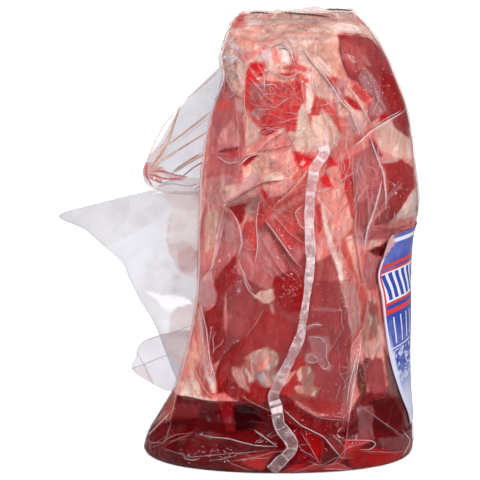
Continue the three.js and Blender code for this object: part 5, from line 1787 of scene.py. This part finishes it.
def weld_grid(film_place, across):
    """Points across the weld for each step along it, laid on the film, and how far along each step is."""
    path = rounded(along(SEAM_ROUTE, SEAM_STEP), 4)
    ahead = np.gradient(path, axis=0)
    ahead /= np.linalg.norm(ahead, axis=1, keepdims=True)
    out = np.stack([-ahead[:, 1], ahead[:, 0]], -1)
    run = np.cumsum(np.concatenate([[0], np.hypot(*np.diff(path, axis=0).T)]))
    half = SEAM_WIDTH / 2 * np.interp(path[:, 1], *zip(*SEAM_WIDTHS))
    half = half * (1 + 0.07 * np.sin(run * 0.31) + 0.05 * np.sin(run * 0.83))
    rows = []
    for (x, z), (out_x, out_z), reach in zip(path, out, half):
        row = [film_place.at(x + out_x * reach * u, z + out_z * reach * u) for u in across]
        rows.append([place + normal * SEAM_OFF_FILM for place, normal in row])
    return np.array(rows), path[:, 1], run


def weld_haze(run, u, z):
    """How milky the weld is: along its edges, in creases, in bands and painted glints, clearer at its foot.
    """
    edges = smooth((np.abs(u) - 0.78) / 0.12)
    lined = smooth((value_noise(run, u * 2.5, 2.4, 35) - 0.1) / 0.4)
    haze = (0.4 + 0.3 * lined + 0.3 * edges) * mix(0.5, 1.0, smooth((z - 40) / 50))
    haze = haze + 0.12 * facets(run, u * 3, 9.0, 36, 0.4)
    haze = mix(haze, 0.14 + 0.14 * lined + 0.5 * edges, smooth((37 - z) / 3))
    for low, high, milk in WELD_BANDS_AND_GLINTS:
        haze = mix(haze, milk, smooth((z - low) / 0.7) * smooth((high - z) / 0.7))
    return np.clip(haze, 0.05, 0.95)


def make_seam(film_place):
    """The bag's weld: a crinkled ribbon that runs in a zigzag at its foot."""
    across = np.linspace(-1, 1, 11)
    point, height, run = weld_grid(film_place, across)
    point = mix(point, blurred_open(point, 3), 0.8)
    normal = grid_normals(point, False)
    normal *= np.where(normal[..., 1:2] > 0, -1, 1)
    u, run = np.meshgrid(across, run)
    crinkle = 0.6 * facets(run, u * 3, 6.0, 31, 0.5) + 0.35 * facets(run, u * 3, 2.6, 32, -0.6)
    edge = 0.35 * smooth((np.abs(u) - 0.7) / 0.2) - 0.35 * smooth((np.abs(u) - 0.9) / 0.1)
    point = point + normal * (0.3 + crinkle * (1 - u**2) ** 0.5 + edge)[..., None]
    haze = weld_haze(run, u, height[:, None] * np.ones_like(u))
    return open_sheet("weld", point, seam_material(), {"haze": haze})


def blurred_open(grid, reach):
    """Average of each row of a grid with the rows beside it."""
    total = np.zeros_like(grid)
    for k in range(-reach, reach + 1):
        total += grid[np.clip(np.arange(len(grid)) + k, 0, len(grid) - 1)]
    return total / (2 * reach + 1)


def label_levels(rows):
    """For each height, points round the label's place on the pack, and how far each is from its near edge."""
    order = np.argsort((skin.turn[0] + math.pi / 2) % (2 * math.pi))
    points, runs = [], []
    for z in rows:
        k = np.searchsorted(skin.height, z) - 1
        t = (z - skin.height[k]) / (skin.height[k + 1] - skin.height[k])
        loop = mix(skin.point[k], skin.point[k + 1], t)[order]
        normal = mix(skin.normal[k], skin.normal[k + 1], t)[order]
        near = float(profile(LABEL_NEAR_EDGE, np.array([min(z, LABEL_TOP)]))[0])
        first = int(np.argmax(loop[:, 0] > near)) - 1
        last = int(np.where((loop[:, 1] > 0) & (loop[:, 0] < LABEL_FAR_EDGE))[0][0]) + 1
        run = np.concatenate([[0], np.cumsum(np.linalg.norm(np.diff(loop[first:last], axis=0), axis=1))])
        short = (LABEL_FAR_EDGE - loop[last - 1, 0]) / (loop[last - 2, 0] - loop[last - 1, 0])
        early = (near - loop[first, 0]) / (loop[first + 1, 0] - loop[first, 0])
        at = np.linspace(early * run[1], run[-1] - short * (run[-1] - run[-2]), LABEL_COLUMNS)
        outward = loop[first:last] + normal[first:last]
        points.append(np.stack([np.interp(at, run, outward[:, i]) for i in range(3)], -1))
        runs.append(at - at[0])
    return np.array(points), np.array(runs)


def make_label():
    """Printed sheet round the right side and across the far side."""
    rows = np.arange(LABEL_BOTTOM, LABEL_TOP + LABEL_CLIMB + 1.2, LABEL_ROW)
    level, run = label_levels(rows)
    rows = rows[rows <= LABEL_TOP]
    up = np.repeat(rows[:, None], LABEL_COLUMNS, axis=1)
    height = up + LABEL_CLIMB * (1 - np.exp(-run[:len(rows)] / LABEL_CLIMB_RUN))
    place = (height - LABEL_BOTTOM) / LABEL_ROW
    k = np.clip(np.floor(place).astype(int), 0, len(level) - 2)
    column = np.arange(LABEL_COLUMNS)[None, :]
    point = mix(level[k, column], level[k + 1, column], (place - k)[..., None])
    along_label = mix(run[k, column], run[k + 1, column], place - k)
    point += grid_normals(point, False) * (0.25 * facets(along_label, up, 14, 77, 0.3))[..., None]
    curl_width = CURL_WIDTH * np.clip(1 - np.abs(up - CURL_MIDDLE) / CURL_HALF, 0, 1) ** 0.7
    curl = smooth((curl_width - along_label) / 0.5)
    point += grid_normals(point, False) * (curl * (1 - along_label / 7.0))[..., None]
    values = {"label_up": up, "label_along": along_label, "label_curl": curl}
    return open_sheet("printed_label", point, label_material(), values)


def loose_sheet(name, outline, place, columns, row_step, patches, base):
    """Thin sheet of film between a free edge and the pack."""
    rows = np.arange(outline[0][0], outline[-1][0], row_step)
    u = np.linspace(0, 1, columns)[None, :]
    z = np.repeat(rows[:, None], columns, axis=1)
    x = mix(profile(outline, rows)[:, None], LOOSE_FILM_ROOT, u)
    point = np.stack([x, place(x, z, u), z], -1)
    tone, haze = paint(x, z, patches, base, FILM_TONES)
    haze = haze + 0.25 * smooth((0.03 - u) / 0.03) + 0.12 * fractal(x, z, 14, 57)
    return open_sheet(name, point, loose_film_material(), {"haze": haze}, tone)


def make_loop():
    """Clear loop of empty bag, two layers that part in the middle."""
    low, high = LOOP_OUTLINE[0][0], LOOP_OUTLINE[-1][0]

    def layer(side):
        def place(x, z, u):
            v = (z - low) / (high - low)
            bow = 5 * np.sin(np.pi * u) * (1 - v)
            swell = 1.2 * np.sin(np.pi * u) * np.sin(np.pi * np.clip(v, 0, 1)) ** 0.5
            gather = 0.7 * facets(x, z, 5, 51, 0.3) * smooth((180 - z) / 6)
            return LOOP_PLACE - bow + side * (0.2 + np.maximum(swell, 0)) + gather
        return place
    near = loose_sheet("loop_near_layer", LOOP_OUTLINE, layer(-1), 60, 0.8, LOOP_PATCHES, "loop grey")
    far = loose_sheet("loop_far_layer", LOOP_OUTLINE, layer(1), 40, 1.2, [], "clear")
    return [near, far]


def make_loop_creases():
    def sheet_at(x, z):
        return np.array([x, LOOP_PLACE - 4.0 * smooth((z - 168) / 20.0) - 1.0, z]), FACING
    pieces = []
    for tone in CREASE_TONES:
        lines = [(line, width * 0.5) for width, t, line in LOOP_CREASES if t == tone]
        strands = [strand(sheet_at, line, radius, 0.0, 6) for line, radius in lines]
        pieces.append(joined_strands("loop_creases_" + tone, strands, crease_material(tone)))
    return pieces


def flap_depth(x, z):
    """Depth of the flap, which hangs in long waves."""
    return FLAP_PLACE + np.sin(z * 0.055 - x * 0.05) * 4


def make_flap():
    def wave(x, z, u):
        return flap_depth(x, z) + 0.3 * facets(x, z, 30, 55, 0.6)

    def tab_place(x, z, u):
        return wave(x, z, u) - 2 - 1.5 * np.sin(np.pi * np.clip((z - 36) / 40, 0, 1))
    upper = [(z, x) for z, x in FLAP_OUTLINE if z >= SHEET_BOTTOM]
    outline = FLAP_BEHIND_TAB + upper[:-1] + FLAP_BEHIND_LOOP
    main = loose_sheet("flap_sheet", outline, wave, 60, 1.5, FLAP_PATCHES, "bright")
    tab_outline = [(z, x) for z, x in FLAP_OUTLINE if z <= TAB_TOP] + [TAB_END]
    tab = loose_sheet("flap_tab", tab_outline, tab_place, 40, 1.2, TAB_PATCHES, "bright")
    return [main, tab]


def make_flap_lines():
    def sheet_at(x, z):
        before_sheet = 4.0 if z < 76 else 0.6
        return np.array([x, flap_depth(x, z) - before_sheet, z]), FACING
    material = strand_material("flap_fold", (206, 196, 200), (300.0, 2.0), (0.3, 0.6))
    strands = [strand(sheet_at, line, width * 0.5, 0.0) for width, line in FLAP_LINES]
    return joined_strands("flap_folds", strands, material)


def small_stones(film_at, name, middle, spread, count, sizes, depth, seed, material):
    """Little rounded bits strewn round a place on the film."""
    dice = np.random.default_rng(seed)
    rings, sides = 7, 8
    points, faces = [], []
    sphere = np.array([(math.cos(a) * math.sin(b), math.sin(a) * math.sin(b), math.cos(b))
                       for b in np.linspace(0.001, math.pi - 0.001, rings)
                       for a in np.arange(sides) * math.pi / 4])
    for _ in range(count):
        x = middle[0] + dice.normal() * spread[0]
        z = middle[1] + dice.normal() * spread[1]
        place, normal = film_at(x, z)
        size = dice.uniform(*sizes)
        squash = np.array([dice.uniform(0.6, 1.4), 0.5, dice.uniform(0.6, 1.4)])
        faces += grid_faces(rings, sides, True, len(points))
        points += (place - normal * depth + sphere * size * squash).tolist()
    return make_mesh(name, points, faces, material)


def plain_wet(name, first, second, scale, roughness=0.35):
    """Wet stuff mottled in two colours."""
    n = new_material(name)
    patch = n.noise(scale, 3.0, 0.6)
    tone = n.blend(n.ramp(patch, 0.4, 0.62), colour(*first), colour(*second))
    bump = n.bump(patch, 0.5, 0.0003)
    return n.finish(n.add("BsdfPrincipled", Base_Color=tone, Roughness=roughness, Normal=bump).outputs[0])


def make_bits(film_place):
    """Spices in the fold at the right, and air bubbles as pale beads that paint the light they catch."""
    materials = {
        "spice": plain_wet("spice", (44, 22, 14), (168, 96, 34), 260.0),
        "bubble_rim": plain_wet("bubble_rim", (238, 214, 216), (214, 168, 172), 600.0, 0.1),
    }
    return [small_stones(film_place.at, *bit, materials[kind]) for *bit, kind in BITS]


# Floor, lights and camera


def make_floor():
    low, high = -FLOOR_REACH, FLOOR_REACH
    corners = [(x, y, -FLOOR_DEPTH) for x, y in ((low, low), (high, low), (high, high), (low, high))]
    floor = make_mesh("floor", corners, [(0, 1, 2, 3)], floor_material())


def add_area_light(name, place, size, power, mirrored):
    """Rectangular light; one that isn't mirrored leaves no picture of itself in the film."""
    light = bpy.data.lights.new(name, "AREA")
    light.shape = "RECTANGLE"
    light.size, light.size_y = size
    light.energy = power
    lamp = bpy.data.objects.new(name, light)
    lamp.location = place
    lamp.rotation_euler = (LIGHT_AIM - Vector(place)).to_track_quat("-Z", "Y").to_euler()
    lamp.visible_glossy = mirrored
    bpy.context.collection.objects.link(lamp)


def light_scene():
    """White studio: an even glow, dimmer where the film mirrors it, broad softboxes and narrow strips."""
    n = Nodes(bpy.data.worlds.new("studio"), "World")
    direction = n.add("SeparateXYZ", Vector=n.add("TexCoord").outputs["Generated"])
    sideways = n.ramp(n.math("ABSOLUTE", direction.outputs[0]), 0.5, 0.95, 0.0, 0.18, "LINEAR")
    behind = n.ramp(direction.outputs[1], 0.1, 0.8, 0.0, 0.25, "LINEAR")
    path = n.add("LightPath").outputs
    glow = n.choose(path["Is Glossy Ray"], 0.4, n.math("MAXIMUM", sideways, behind))
    strength = n.choose(path["Is Camera Ray"], glow, 1.0)
    background = n.add("Background", Color=WHITE, Strength=strength)
    bpy.context.scene.world = n.finish(background.outputs[0])
    for light in LIGHTS:
        add_area_light(*light)
    bpy.context.scene.view_settings.view_transform = "Standard"


def place_camera():
    camera = bpy.data.objects.new("camera", bpy.data.cameras.new("camera"))
    away = Vector((0, -math.cos(CAMERA_ELEVATION), math.sin(CAMERA_ELEVATION)))
    camera.location = AIM + away * CAMERA_DISTANCE
    camera.rotation_euler = (math.pi / 2 - CAMERA_ELEVATION, 0, 0)
    camera.data.sensor_width = SENSOR
    camera.data.lens = SENSOR * PIXELS_PER_RADIAN / PHOTO_SIZE
    camera.data.clip_end = 100.0
    bpy.context.collection.objects.link(camera)
    bpy.context.scene.camera = camera


place_camera()
light_scene()
make_floor()
lift = film_lift()
meat = make_meat(lift)
brine = make_brine()
film, film_point = make_film(lift)
film_place = Film(film_point)
fold_edges = make_fold_edges(film_place) + make_hem(film_place)
seam = make_seam(film_place)
label = make_label()
loop_sheets = make_loop()
loop_creases = make_loop_creases()
flap_sheets = make_flap()
flap_lines = make_flap_lines()
bits = make_bits(film_place)

wet = [meat, brine] + bits
clear = [film, seam, flap_lines] + fold_edges + loop_sheets + loop_creases + flap_sheets
for piece in wet + clear + [label]:
    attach(piece, "root")
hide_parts("brisket_pack")
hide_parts("fin_seam")
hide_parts("label")
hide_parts("film_loop")
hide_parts("film_flap")
